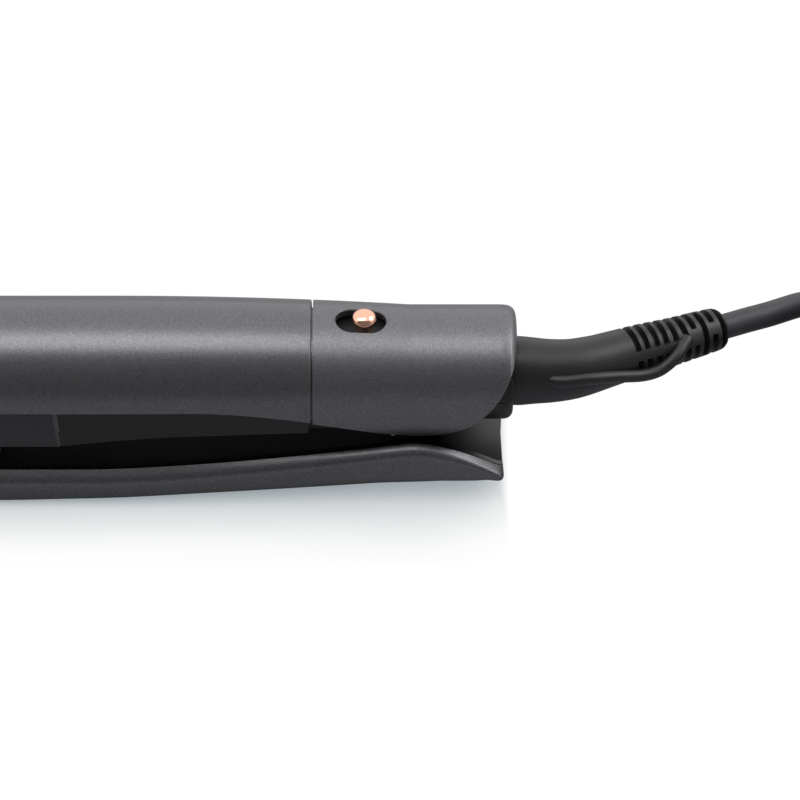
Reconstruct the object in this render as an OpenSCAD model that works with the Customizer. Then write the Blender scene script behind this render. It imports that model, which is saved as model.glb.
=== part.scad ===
// Steam hair straightener: two hinged arms with heating plates, a lift-off water tank at
// the rear of the upper arm, and a mains lead on a swivel.
// Millimetres. X runs along the arms, with +X towards the mains lead, Y is the hinge axis
// and Z is up. The origin lies on the table, under the middle of the arms.
// Places along the arms are written as the distance s from the rear face of the tank.

/* [Body] */
// Length from the nose to the rear face of the tank
body_l = 300; // [290:1:315]
// Height of the upper arm's axis over the table
axis_z = 28.4; // [28:0.1:30]
// Radius of the upper arm in the grip
grip_r = 18.2; // [17.8:0.1:19]
// Radius of the upper arm at the tank
tank_r = 16; // [15.8:0.1:16.6]
// Radius of the upper arm at the nose
nose_r = 16.8; // [16.4:0.1:17.4]
// Wall of the painted casings
wall = 1.8; // [1.5:0.1:2.1]
// Length of the nose caps
nose_l = 16; // [12:1:20]
// Height over the table of the plane in which the plates meet
meet_z = 14.6; // [14.2:0.1:15]
// Height of the casing's lower edge over the arm's axis in the grip
edge_rise = 2.1; // [1:0.1:3]

/* [Water tank] */
// Length of the tank, from its rear face to the part line
tank_l = 49; // [47:0.5:52]
// Gap at the part line
line_gap = 0.4; // [0.3:0.05:0.6]
// Depth of the tank's belly under the arm's axis
belly_drop = 9.6; // [9:0.1:10]
// Length of the latch slot
slot_l = 12.2; // [11:0.1:13]
// Width of the latch slot
slot_w = 7.9; // [7:0.1:8.4]
// Distance of the slot's middle from the tank's rear face
slot_s = 37.5; // [35:0.5:38]
// Diameter of the latch knob
knob_d = 6; // [5:0.1:6.4]
// Travel of the latch knob
knob_travel = 2.8; // [2:0.1:2.9]
// Diameter of the tank's outlet valve
valve_d = 6; // [5:0.1:7]

/* [Lower arm] */
// Half width of the lower arm at the hinge
low_w_rear = 16.8; // [16.5:0.1:17.2]
// Half width of the lower arm in the grip
low_w_front = 17.9; // [17.6:0.1:18.4]
// Width of the sloping shoulder beside the rim
shoulder_w = 2.8; // [2.4:0.1:3.2]
// Height of the rim over the table in the grip
rim_front = 10; // [9.6:0.1:10.4]
// Height of the rim over the table at the hinge
rim_hinge = 17.6; // [17.2:0.1:18]
// Height of the rim over the table at the tail
rim_tail = 9.2; // [9:0.1:9.8]
// Height of the belly over the table at the tail
belly_tail = 6; // [5.4:0.1:6.2]
// Radius between the belly and the side walls
belly_r = 4; // [3:0.1:5]
// Depth of the scallop in the tail's end
scallop = 1.8; // [1:0.1:2.4]
// Distance of the tail's end from the tank's rear face
tail_s = 3; // [2:0.1:4]

/* [Hinge] */
// Distance of the hinge axis from the tank's rear face
hinge_s = 22; // [21:0.1:23]
// Height of the hinge axis over the table
hinge_z = 14.8; // [14.6:0.1:15]
// Diameter of the hinge pin
pin_d = 3; // [2.6:0.1:3.4]
// Outer radius of the hinge barrels
barrel_r = 3.6; // [3.4:0.1:3.7]
// Running clearance of the pin in the upper arm's barrels
pin_play = 0.05; // [0.03:0.01:0.08]

/* [Plates] */
// Length of the heating plates
plate_l = 110; // [100:1:114]
// Width of the heating plates
plate_w = 26; // [24:0.5:27]
// Thickness of the heating plates
plate_t = 4; // [3:0.1:4.4]
// Distance between the plates and the nose caps
plate_front = 3; // [2:0.5:5]
// Gap between the closed plates
plate_gap = 0.4; // [0.3:0.05:0.6]
// Travel of the floating lower plate
float_travel = 1; // [0.6:0.1:1.2]
// Number of steam slots
steam_slots = 12; // [8:1:14]

/* [Controls] */
// Diameter of the round buttons
button_d = 8; // [7:0.1:9]
// Travel of the buttons
button_travel = 0.5; // [0.3:0.1:0.6]
// How far the buttons stand over the casing
button_proud = 0.7; // [0.6:0.1:1]
// Distance between neighbouring buttons
button_pitch = 11; // [10:0.5:12]
// Distance of the first button from the tank's rear face
button_s = 134; // [132:1:136]
// Length of the display window
window_l = 20; // [16:1:22]
// Width of the display window
window_w = 9; // [7:0.5:10]

/* [Mains lead] */
// Diameter of the lead
lead_d = 6.2; // [5.8:0.1:6.6]
// Radius of the collar that holds the swivel
collar_r = 11.6; // [11.4:0.1:11.9]
// Radius of the relief where it leaves the collar
relief_r = 8.35; // [8:0.05:8.6]
// Radius of the relief at its free end
relief_end_r = 5; // [4.6:0.1:5.4]
// Number of grooves in the relief
relief_grooves = 10; // [6:1:11]
// Mean radius of the coiled lead
coil_r = 32; // [32:0.5:36]
// Turns in each layer of the coil
coil_turns = 3; // [2:1:3]
// Layers in the coil
coil_layers = 4; // [2:2:4]
// Distance between the middles of neighbouring turns
coil_pitch = 6.8; // [6.7:0.1:7.4]

/* [Hidden] */
$fn = 64;

rear_x = body_l / 2;
hinge_x = rear_x - hinge_s;
plate_s = body_l - nose_l - plate_front - plate_l;
spine_bottom = axis_z - belly_drop + 0.1;
fit = 0.1;
seat = 0.3;
big = 80;
function at(s) = rear_x - s;
function clamp01(t) = max(0, min(1, t));
function bez(a, b, c, d, n) = [for (i = [0:n]) let(t = i / n, u = 1 - t)
    u * u * u * a + 3 * u * u * t * b + 3 * u * t * t * c + t * t * t * d];
function span(a, b, n) = [for (i = [0:n]) a + (b - a) * i / n];

// Radius of the upper arm along its length: a domed rear, the tank, a swell into the grip
// and a slow taper to the nose
dome_l = 5.8;
dome_face_r = relief_r + 0.45;
swell_s = 26;
swell_l = 71;
taper_s = 130;
function arm_r(s) =
    s < dome_l
        ? dome_face_r + (tank_r - dome_face_r) * sqrt(max(0, 1 - pow(1 - s / dome_l, 2)))
        : s < taper_s
        ? tank_r + (grip_r - tank_r) * (1 - pow(1 - clamp01((s - swell_s) / swell_l), 2))
        : grip_r - (grip_r - nose_r) * pow((s - taper_s) / (body_l - taper_s), 2);
dome_stations = [for (a = [0:18:90]) dome_l * (1 - cos(a))];
tank_stations = concat(dome_stations, span(swell_s, tank_l, 4));
arm_stations = concat(span(tank_l + line_gap, swell_s + swell_l, 6), [taper_s],
    span(taper_s + 35, body_l - nose_l, 3));

// Lower edge of the casing and of the tank in side view, as [x, z] from the rear forwards
edge_top = 6.5;
edge_flat_s = 80;
belly_s = 24.5;
edge_z = axis_z + edge_rise;
belly_z = axis_z - belly_drop;
rear_edge = bez([at(-1), axis_z + edge_top], [at(5.5), axis_z + 6], [at(13.5), belly_z],
    [at(belly_s), belly_z], 10);
side_edge = bez([at(belly_s), belly_z], [at(27), belly_z], [at(50), edge_z],
    [at(edge_flat_s), edge_z], 10);
edge_line = concat(rear_edge, [for (i = [1:10]) side_edge[i]], [[at(body_l + 1), edge_z]]);

// Solid of revolution about the arm's axis through the given stations, thinner by inset
module turned(stations, inset) {
    ends = [stations[0], stations[len(stations) - 1]];
    translate([0, 0, axis_z]) rotate([0, 90, 0]) rotate_extrude($fn = 96)
        polygon(concat([[0, at(ends[0])]], [for (s = stations) [arm_r(s) - inset, at(s)]],
            [[0, at(ends[1])]]));
}

// Prism of a side-view outline, wide across the arm
module side_prism(outline, half) {
    rotate([90, 0, 0]) linear_extrude(height = 2 * half, center = true) polygon(outline);
}

// Everything above the casing's lower edge, moved up by lift
module above_edge(lift = 0) {
    side_prism(concat([for (p = edge_line) [p[0], p[1] + lift]],
        [[at(body_l + 1), big], [at(-1), big]]), big / 2);
}

// Cylinder across the arm from y1 to y2
module cross(x, z, r, y1, y2) {
    translate([x, y2, z]) rotate([90, 0, 0]) cylinder(r = r, h = y2 - y1);
}

// Cylinder along the arm from the distance s1 forwards to s2, on the arm's axis
module along(r, s1, s2) {
    translate([at(s2), 0, axis_z]) rotate([0, 90, 0]) cylinder(r = r, h = s2 - s1);
}

// Block between two distances from the rear face, two sides and two heights
module block(s1, s2, half, z1, z2) {
    translate([at(s2), -half, z1]) cube([s2 - s1, 2 * half, z2 - z1]);
}

// Closed skin over rings of equally many points; strip says that a ring is a band that
// runs out along one side and back along the other
module skin(rings, strip = false) {
    n = len(rings);
    m = len(rings[0]);
    last = (n - 1) * m;
    sides = [for (j = [0:n - 2], i = [0:m - 1]) let(a = j * m + i, b = j * m + (i + 1) % m)
        each [[a, a + m, b + m], [a, b + m, b]]];
    caps = strip
        ? [for (i = [0:m / 2 - 2]) let(j = m - 1 - i)
            each [[i, i + 1, j - 1], [i, j - 1, j],
                [last + j - 1, last + i + 1, last + i], [last + j, last + j - 1, last + i]]]
        : [for (i = [1:m - 2]) each [[0, i, i + 1], [last + i + 1, last + i, last]]];
    polyhedron([for (r = rings) each r], concat(sides, caps), convexity = 8);
}

// Tube of a radius at each point of a path, with the given number of sides
function unit(v) = v / norm(v);
function heading(p, i) = unit(p[min(i + 1, len(p) - 1)] - p[max(i - 1, 0)]);
module tube(path, radii, sides, up = [0, 0, 1]) {
    skin([for (i = [0:len(path) - 1])
        let(t = heading(path, i), a = unit(cross_of(up, t)), b = cross_of(t, a))
        [for (k = [0:sides - 1]) let(w = 360 * k / sides)
            path[i] + radii[i] * (cos(w) * a + sin(w) * b)]]);
}
function cross_of(a, b) = [a[1] * b[2] - a[2] * b[1], a[2] * b[0] - a[0] * b[2],
    a[0] * b[1] - a[1] * b[0]];

// Lower arm: heights and half width along its length
rim_run_s = 105;
rim_peak_s = 26;
rim_rear_s = 20;
flat_s = 125;
function low_w(s) = s < flat_s
    ? low_w_rear + (low_w_front - low_w_rear) * clamp01((s - 30) / 65)
    : low_w_front - 0.7 * pow((s - flat_s) / (body_l - flat_s), 2);
function rim(s) = s < rim_rear_s
    ? rim_hinge - (rim_hinge - rim_tail) * pow((rim_rear_s - s) / (rim_rear_s - tail_s), 1.2)
    : rim_front + (rim_hinge - rim_front)
        * pow(clamp01((rim_run_s - s) / (rim_run_s - rim_peak_s)), 1.6);
function crease(s) = rim(s) - 1.1 - clamp01((s - 35) / 50);
function belly(s) = belly_tail * pow(clamp01((flat_s - s) / (flat_s - 18)), 1.4);
tail_stations = [tail_s, 4.5, 6.5, 9, 12, 15, 18, rim_rear_s];
low_stations = concat(tail_stations, span(rim_peak_s, rim_run_s, 12),
    [115, flat_s, 200, body_l - nose_l]);
function tuck(s, y, w) = scallop * (1 - pow(y / w, 2)) * pow(clamp01((20 - s) / 17), 2);

// Half outline of a wall at one station, from the rim down and to the middle, as [y, z]
function bend(cy, cz, r) = [for (a = [0:30:90]) [cy - r * cos(a), cz - r * sin(a)]];
function mirrored(h) = concat(h, [for (i = [len(h) - 2:-1:0]) [-h[i][0], h[i][1]]]);
function placed(s, w, line) = [for (p = line) [at(s + tuck(s, p[0], w)), p[0], p[1]]];
function backwards(l) = [for (i = [len(l) - 1:-1:0]) l[i]];
lip_t = 1.4;
function floor_t(s) = wall - 0.6 * clamp01((18 - s) / 15);
function casing_ring(s) = let(w = low_w(s), b = belly(s), r = rim(s), c = crease(s),
    ro = min(belly_r, (c - b) * 0.7), f = b + floor_t(s),
    ri = min(belly_r - wall, (r - lip_t - f) * 0.5),
    out = concat([[-(w - shoulder_w), r], [-w, c]], bend(-(w - ro), b + ro, ro), [[0, b]]),
    in = concat([[-(w - shoulder_w), r - lip_t], [-(w - wall), max(c - 1.6, f + ri + 0.05)]],
        bend(-(w - wall - ri), f + ri, ri), [[0, f]]))
    placed(s, w, concat(mirrored(out), backwards(mirrored(in))));
liner_t = 1.3;
liner_r = 7;
function liner_ring(s) = let(w = low_w(s), h = w - shoulder_w - fit, r = rim(s),
    b = belly(s) + floor_t(s) + fit, ro = min(liner_r, (r - b) * 0.9),
    ri = min(liner_r - liner_t, (r - b - liner_t) * 0.9),
    out = concat([[-h, r]], bend(-(h - ro), b + ro, ro), [[0, b]]),
    in = concat([[-(h - liner_t), r]], bend(-(h - liner_t - ri), b + liner_t + ri, ri),
        [[0, b + liner_t]]))
    placed(s, w, concat(mirrored(out), backwards(mirrored(in))));
function tray_floor(s) = belly(s) + floor_t(s) + fit + liner_t;
inner_end_s = 109;
liner_end_s = 125.5;

module lower_casing() color("#4a494f")
    skin([for (s = backwards(low_stations)) casing_ring(s)], true);

// Dark tray in the trough of the lower arm, with the two outer knuckles of the hinge
knuckle_in = 6.7;
knuckle_out = 9.2;
module lower_liner() color("#232225") {
    difference() {
        union() {
            skin([for (s = backwards(concat(tail_stations, span(rim_peak_s, liner_end_s, 10))))
                liner_ring(s)], true);
            for (side = [-1, 1]) knuckle(side);
        }
        cross(hinge_x, hinge_z, pin_d / 2, -knuckle_out - 1, knuckle_out + 1);
    }
}
module knuckle(side) {
    foot = tray_floor(hinge_s) - 0.35 * liner_t;
    y1 = side > 0 ? knuckle_in : -knuckle_out;
    cross(hinge_x, hinge_z, barrel_r, y1, y1 + knuckle_out - knuckle_in);
    translate([hinge_x - barrel_r, y1, foot])
        cube([2 * barrel_r, knuckle_out - knuckle_in, hinge_z - foot]);
}

// Heat-proof frame in the lower arm, with the pocket that the floating plate sits in
housing_half = low_w_front - shoulder_w - 1;
housing_floor = wall + 0.25;
housing_top = rim_front + 0.4;
low_plate_z = meet_z - plate_gap / 2 - plate_t;
heater_t = 2.6;
heater_half = 8.4;
pocket_floor = housing_floor + 1.6;
module lower_housing() color("#2b2a2d") difference() {
    block(liner_end_s + 0.5, body_l - nose_l - fit, housing_half, housing_floor, housing_top);
    block(plate_s - seat, plate_s + plate_l + seat, plate_w / 2 + seat, pocket_floor, big);
    for (s = low_screw_s, y = [-low_screw_y, low_screw_y]) translate([at(s), y, 0]) {
        translate([0, 0, housing_top - head_t - 0.2])
            cylinder(d = screw_head + 0.3, h = big, $fn = 32);
        translate([0, 0, housing_floor + 1]) cylinder(d = screw_d + 0.1, h = big, $fn = 24);
    }
}
heater_end = 6;
module lower_heater() color("#b8b4a8") block(plate_s + heater_end, plate_s + plate_l - heater_end,
    heater_half, low_plate_z - heater_t, low_plate_z);
pad_d = 3;
pad_end = 14;
pad_y = 10.6;
module plate_pads() color("#8c4238")
    for (s = [plate_s + pad_end, plate_s + plate_l - pad_end], y = [-pad_y, pad_y])
        translate([at(s), y, pocket_floor]) cylinder(d = pad_d,
            h = low_plate_z - float_travel - fit - pocket_floor, $fn = 24);

// Floating plate: flat aluminium with rounded long edges
module plate_bar(z) {
    edge_r = 1.2;
    translate([at(plate_s + plate_l), 0, 0]) rotate([90, 0, 90])
        linear_extrude(height = plate_l) union() {
            translate([-plate_w / 2 + edge_r, z]) square([plate_w - 2 * edge_r, plate_t]);
            translate([-plate_w / 2, z + edge_r])
                square([plate_w, plate_t - 2 * edge_r]);
            for (y = [-1, 1], k = [edge_r, plate_t - edge_r])
                translate([y * (plate_w / 2 - edge_r), z + k]) circle(edge_r, $fn = 32);
        }
}
module lower_plate() color("#8e7f7a") plate_bar(low_plate_z);
module upper_plate() color("#8e7f7a") difference() {
    plate_bar(meet_z + plate_gap / 2);
    slot_row(meet_z, steam_bar_z + 1);
}

// Nose caps: the arm's section, rounded in plan and in side view
nose_plan_r = 12;
module nose_plan() {
    linear_extrude(height = big) union() {
        translate([at(body_l - nose_plan_r), -big / 2]) square([nose_l, big]);
        translate([at(body_l), -(low_w_front - nose_plan_r)])
            square([nose_plan_r, 2 * (low_w_front - nose_plan_r)]);
        for (y = [-1, 1]) translate([at(body_l - nose_plan_r), y * (nose_w - nose_plan_r)])
            circle(nose_plan_r);
    }
}
nose_w = low_w(body_l - nose_l);
module lower_tip() color("#232225") intersection() {
    translate([at(body_l), 0, 0]) rotate([90, 0, 90]) linear_extrude(height = nose_l - fit)
        polygon(mirrored(concat([[-(nose_w - shoulder_w), rim(body_l)],
            [-nose_w, crease(body_l)]], bend(-(nose_w - belly_r), belly_r, belly_r),
            [[0, 0]])));
    nose_plan();
    side_prism([[at(body_l - nose_l), 0], [at(body_l - 8), 0], [at(body_l - 3), 1.2],
        [at(body_l), 4.2], [at(body_l), 12], [at(body_l - nose_l), 12]], big / 2);
}
module upper_tip() color("#232225") intersection() {
    translate([at(body_l), 0, 0]) rotate([90, 0, 90]) linear_extrude(height = nose_l - fit)
        union() {
            intersection() {
                translate([0, axis_z]) circle(arm_r(body_l - nose_l), $fn = 96);
                translate([-big / 2, edge_z]) square(big);
            }
            translate([-frame_half, nose_floor]) square([2 * frame_half, edge_z - nose_floor]);
        }
    nose_plan();
    side_prism(concat([[at(body_l - nose_l), nose_floor], [at(body_l - 2), nose_floor],
        [at(body_l), nose_floor + 3]],
        [for (a = [0:15:90]) [at(body_l - 14) - 14 * cos(a),
            nose_shoulder + (axis_z + arm_r(body_l - nose_l) - nose_shoulder) * sin(a)]],
        [[at(body_l - nose_l), big]]), big / 2);
}
nose_floor = meet_z + 2.4;
nose_shoulder = axis_z + 3;

// Hinge pin, pressed into the knuckles, and the spring that opens the arms
module hinge_pin() color("#b9bbc0")
    cross(hinge_x, hinge_z, pin_d / 2, -knuckle_out, knuckle_out);
spring_wire = 0.8;
spring_r = 2.6;
spring_turns = 3.5;
spring_pitch = 1.25;
spring_leg = 8;
spring_steps = 8;
spring_y = spring_pitch * spring_turns / 2;
spring_coil = [for (i = [0:spring_steps * spring_turns])
    let(a = -20 + (360 * spring_turns + 28) * i / (spring_steps * spring_turns))
    [hinge_x + spring_r * sin(a), 2 * spring_y * i / (spring_steps * spring_turns) - spring_y,
        hinge_z - spring_r * cos(a)]];
spring_path = concat(
    [[hinge_x - spring_leg, -spring_y, tray_floor(hinge_s + spring_leg) + spring_wire / 2 + fit]],
    spring_coil,
    [[hinge_x - spring_leg, spring_y, spine_bottom - spring_wire / 2 - fit]]);
module hinge_spring() color("#c9ccd1")
    tube(spring_path, [for (p = spring_path) spring_wire / 2], 6, [0, 1, 0.01]);
module hinge_bushes() color("#b58b4a") for (side = [-1, 1]) difference() {
    cross(hinge_x, hinge_z, barrel_r - 0.2, side * (knuckle_in + barrel_in) / 2 - bush_half,
        side * (knuckle_in + barrel_in) / 2 + bush_half);
    cross(hinge_x, hinge_z, pin_d / 2 + pin_play, -big / 2, big / 2);
}
barrel_in = 5.4;
bush_half = (knuckle_in - barrel_in) / 2 - 0.05;

// Countersunk-in screws: those of the lower housing point down, those of the collar up
screw_d = 2.4;
screw_head = 4.4;
head_t = 1.2;
low_screw_s = [liner_end_s + 9.5, plate_s - 12];
low_screw_y = 9;
module screw(l) {
    cylinder(d = screw_head, h = head_t, $fn = 32);
    translate([0, 0, head_t - 0.01]) cylinder(d = screw_d, h = l, $fn = 24);
}
module lower_screws() color("#8d9096")
    for (s = low_screw_s, y = [-low_screw_y, low_screw_y])
        translate([at(s), y, housing_top - 0.2]) mirror([0, 0, 1]) screw(5);

// Frame of the upper arm: lower half of the swivel collar, the spine under the tank, the
// hinge barrels, and the dark inner wall of the arm
collar_s = 0.9;
collar_end_s = 14;
spine_half = 10.1;
spine_top = axis_z - 0.9;
inner_half = 15;
inner_drop = 11;
inner_s = tank_l + line_gap + 0.4;
inner_line = [[at(inner_s), axis_z - 6.6], [at(68), axis_z - 7.4],
    [at(85), axis_z - 8.2], [at(97), axis_z - 9.3], [at(inner_end_s), axis_z - inner_drop]];
module inner_side(inset) {
    side_prism(concat([for (p = inner_line) [p[0], p[1] + inset]],
        [[at(inner_end_s), axis_z + 6 + inset], [at(inner_s), axis_z + 6 + inset]]),
        inner_half - inset);
}
bore_play = 0.1;
flange_r = 9.8;
flange_s = 4;
flange_t = 3.6;
throat_r = 5;
module swivel_bore() {
    along(relief_r + bore_play, -1, flange_s);
    along(flange_r + 0.2, flange_s - 0.2, flange_s + flange_t + 0.2);
    along(throat_r, flange_s, collar_end_s + 1);
}
module chassis() color("#29282b") {
    difference() {
        union() {
            intersection() {
                along(collar_r, collar_s, collar_end_s + 4);
                block(0, collar_end_s + 4, big / 2, 0, axis_z - 0.05);
            }
            block(collar_end_s, inner_s + 2, spine_half, spine_bottom, spine_top);
            for (side = [-1, 1]) barrel(side);
            intersection() {
                difference() {
                    inner_side(0);
                    inner_side(1.6);
                }
                turned(concat([inner_s], span(56, 97, 4), [taper_s]), wall + fit);
            }
        }
        swivel_bore();
        cross(hinge_x, hinge_z, pin_d / 2 + pin_play, -big / 2, big / 2);
        translate([at(valve_s), 0, pipe_z]) cylinder(d = pipe_d, h = big);
        translate([at(valve_s), 0, spine_top - seal_h]) cylinder(d = seal_d, h = big);
        along_at(pipe_d / 2 + fit, 0, valve_s, inner_s + 3, pipe_z);
        for (y = [-collar_screw_y, collar_screw_y])
            translate([at(collar_screw_s), y, spine_bottom]) {
                cylinder(d = screw_head + 0.3, h = 2 * (head_t + 0.2), center = true);
                cylinder(d = screw_d + 0.1, h = 7.5);
            }
    }
}
collar_screw_s = collar_end_s + 2.4;
collar_screw_y = 7;
module barrel(side) {
    y1 = side > 0 ? barrel_in - 2.6 : -barrel_in;
    cross(hinge_x, hinge_z, barrel_r, y1, y1 + 2.6);
    translate([hinge_x - 2.6, y1, hinge_z]) cube([5.2, 2.6, spine_bottom + 1 - hinge_z]);
}

// Upper half of the swivel collar, screwed on; the tank's dome covers its upper part
module collar_cap() color("#29282b") difference() {
    intersection() {
        along(collar_r, collar_s, collar_end_s - fit);
        block(0, collar_end_s + 4, big / 2, axis_z, big);
        union() {
            below_rear_edge();
            turned(concat([for (d = dome_stations) d + wall], [collar_end_s + 2]),
                wall + 0.35);
        }
    }
    swivel_bore();
}
module below_rear_edge() {
    side_prism(concat([for (p = rear_edge) [p[0], p[1] - 0.5]],
        [[at(belly_s), 0], [at(-1), 0]]), big / 2);
}

// Painted upper casing, open below, with bores for the buttons and the display window
module upper_casing() color("#55545a") difference() {
    intersection() {
        turned(arm_stations, 0);
        above_edge();
    }
    turned(concat([tank_l], arm_stations, [body_l]), wall);
    for (i = [0:3]) translate([at(button_place(i)), 0, axis_z])
        cylinder(d = button_d + 2 * seat, h = big);
    translate([0, 0, axis_z]) linear_extrude(height = big) window_plan(fit);
}
window_s = button_s + button_pitch / 2 + window_l / 2 + 3;
function button_place(i) = i == 0 ? button_s : window_s + window_l / 2 + 3 + button_d / 2
    + (i - 1) * button_pitch + 0.5;
module window_plan(grow) {
    r = window_w / 2 + grow;
    run = window_l / 2 - window_w / 2;
    translate([at(window_s), 0]) union() {
        square([2 * run, 2 * r], center = true);
        for (k = [-1, 1]) translate([k * run, 0]) circle(r);
    }
}
module display_window() color("#101014") intersection() {
    difference() {
        turned([window_s - 20, taper_s + 35, window_s + 30], 0.15);
        turned([window_s - 20, taper_s + 35, window_s + 30], wall + 0.6);
    }
    linear_extrude(height = big) window_plan(0);
    block(window_s - 20, window_s + 20, 10, axis_z, big);
}
board_t = 1.6;
frame_rise = 4;
board_top = edge_z + frame_rise + board_t;
module button(i) {
    top = axis_z + grip_r + button_proud;
    place = at(button_place(i));
    translate([place, 0, 0]) intersection() {
        translate([0, 0, board_top + 1 + button_travel])
            cylinder(d = button_d, h = top - board_top - 1 - button_travel);
        translate([0, 0, top - 24]) sphere(r = 24, $fn = 96);
    }
    translate([place, 0, board_top + seat + button_travel]) cylinder(d = 3, h = 2, $fn = 24);
    translate([place, 0, axis_z + arm_r(button_place(i)) - wall - 3.2])
        cylinder(d = button_d + 2.4, h = 1.2);
}
module power_button() color("#b76e54") button(0);
module plus_button() color("#2b2a2d") button(1);
module minus_button() color("#2b2a2d") button(2);
module steam_button() color("#2b2a2d") button(3);

// Grey heat-proof frame of the upper arm, open above, with the plate's pocket below
frame_half = 15.4;
frame_drop = 10.7;
frame_bottom = axis_z - frame_drop;
frame_t = 1.8;
frame_s = inner_end_s + 0.4;
frame_floor = frame_bottom + 2.6;
frame_end = 3;
taper_mid_s = taper_s + 35;
module upper_housing() color("#36353a") difference() {
    intersection() {
        side_prism([[at(frame_s), frame_bottom], [at(frame_s + 1.4), edge_z + frame_rise],
            [at(body_l - nose_l - fit), edge_z + frame_rise],
            [at(body_l - nose_l - fit), frame_bottom]], frame_half);
        turned([frame_s - 2, taper_s, taper_mid_s, body_l - nose_l + 1], wall + fit);
    }
    block(frame_s + frame_end, body_l - nose_l - frame_end, frame_half - frame_t, frame_floor,
        big);
    block(plate_s - seat, plate_s + plate_l + seat, plate_w / 2 + fit, 0, big);
    along_at(pipe_d / 2 + fit, 0, frame_s - 2, chamber_s, feed_z);
}
module upper_heater() color("#b8b4a8") block(plate_s + heater_end, plate_s + plate_l - heater_end,
    heater_half, steam_bar_z, steam_bar_z + heater_t);

// Steam bar over the plate, with a row of slots, fed by the boiler behind it
steam_bar_z = meet_z + plate_gap / 2 + plate_t;
bar_y = 10.6;
bar_w = 3.4;
bar_h = 5;
bar_end = 4;
slot_len = 4.4;
slot_t = 1.2;
module slot_row(z1, z2) {
    pitch = (plate_l - 2 * bar_end - 3 * slot_len) / (steam_slots - 1);
    for (i = [0:steam_slots - 1])
        translate([at(plate_s + bar_end + 2 * slot_len + pitch * i), bar_y - slot_t / 2, z1])
            cube([slot_len, slot_t, z2 - z1]);
}
module steam_bar() color("#6f7177") difference() {
    translate([at(plate_s + plate_l - bar_end), bar_y - bar_w / 2, steam_bar_z])
        cube([plate_l - 2 * bar_end, bar_w, bar_h]);
    slot_row(steam_bar_z - 1, steam_bar_z + 0.6 * bar_h);
}
chamber_behind = 10.6;
chamber_before = 8;
chamber_half = 12.6;
chamber_h = 11;
chamber_s = frame_s + frame_end + chamber_behind;
chamber_end_s = plate_s - chamber_before;
module steam_chamber() color("#c2a25a")
    block(chamber_s, chamber_end_s, chamber_half, frame_floor, frame_floor + chamber_h);
seal_h = 1.6;
pipe_d = 2.4;
pump_s = 60;
pump_l = 22;
pump_floor = axis_z - 5.3;
pipe_z = spine_top - seal_h - pipe_d / 2 - 2 * fit;
feed_z = frame_floor + chamber_h - 2.5;
pump_nose = 6;
pump_half = 8;
pump_h = 12;
module water_pump() color("#d9dadc") union() {
    block(pump_s, pump_s + pump_l, pump_half, pump_floor, pump_floor + pump_h);
    along_at(4.5, 0, pump_s + pump_l, pump_s + pump_l + pump_nose, feed_z);
}
module water_pipe() color("#e6e3da") {
    along_at(pipe_d / 2, 0, valve_s + pipe_d / 2 + fit, pump_s, pipe_z);
    along_at(pipe_d / 2, 0, pump_s + pump_l + pump_nose, chamber_s, feed_z);
    along_at(pipe_d / 2 - 0.2, bar_y, chamber_end_s, plate_s + bar_end,
        steam_bar_z + bar_h / 2 + 2 * fit);
}
module along_at(r, y, s1, s2, z) {
    translate([at(s2), y, z]) rotate([0, 90, 0]) cylinder(r = r, h = s2 - s1, $fn = 24);
}
board_s = button_s - 8;
board_l = 74;
board_half = 13.9;
module circuit_board() color("#2f6b3c")
    block(board_s, board_s + board_l, board_half, board_top - board_t, board_top);
module upper_screws() color("#8d9096") for (y = [-collar_screw_y, collar_screw_y])
    translate([at(collar_screw_s), y, spine_bottom + 0.2]) screw(6);

// Water tank: painted shell, inner vessel, outlet valve, and the sliding latch
valve_back = 7;
valve_s = tank_l - valve_back;
seal_d = 9.6;
slide_top = axis_z + tank_r - wall - 1;
slide_t = 1.2;
slide_half = 4.2;
vessel_top = slide_top - slide_t - seat;
module tank_shell() color("#5a595f") difference() {
    intersection() {
        turned(tank_stations, 0);
        above_edge();
    }
    turned(concat([for (d = dome_stations) d + wall], span(swell_s, tank_l, 4), [tank_l + 1]),
        wall);
    along(relief_r + 0.3, -1, 6);
    slot_prism();
}
module slot_prism() {
    run = (slot_l - slot_w) / 2;
    translate([at(slot_s), 0, axis_z]) linear_extrude(height = big) union() {
        square([2 * run, slot_w], center = true);
        for (k = [-1, 1]) translate([k * run, 0]) circle(d = slot_w);
    }
}
vessel_t = 1.4;
vessel_rear_s = collar_end_s + 4.4;
vessel_front_s = tank_l - 1;
vessel_floor = spine_top + seat;
rail_t = 1.2;
rail_y = slide_half + 0.9;
module vessel_round(inset) {
    turned(concat([collar_end_s + 4, swell_s], span(swell_s + 6, vessel_front_s, 3)), inset);
}
module tank_vessel() color("#3c4a55") difference() {
    intersection() {
        vessel_round(wall + fit);
        union() {
            block(vessel_rear_s, vessel_front_s, big / 2, vessel_floor, vessel_top);
            for (side = [-1, 1])
                translate([at(vessel_front_s), side * rail_y - rail_t / 2, vessel_top - vessel_t])
                    cube([vessel_front_s - swell_s, rail_t, slide_top - seat - vessel_top
                        + vessel_t]);
        }
    }
    intersection() {
        vessel_round(wall + fit + vessel_t);
        block(vessel_rear_s + vessel_t, vessel_front_s - vessel_t, big / 2,
            vessel_floor + vessel_t, vessel_top - vessel_t);
    }
    translate([at(valve_s), 0, 0]) cylinder(d = valve_d - 2, h = vessel_top - 2);
}
module tank_valve() color("#d7d2c8") difference() {
    translate([at(valve_s), 0, spine_top - seal_h + 2 * fit])
        cylinder(d = valve_d, h = seal_h - 2 * fit + seat);
    translate([at(valve_s), 0, spine_top - seal_h]) cylinder(d = valve_d - 2.4, h = seal_h + 1);
}
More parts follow.
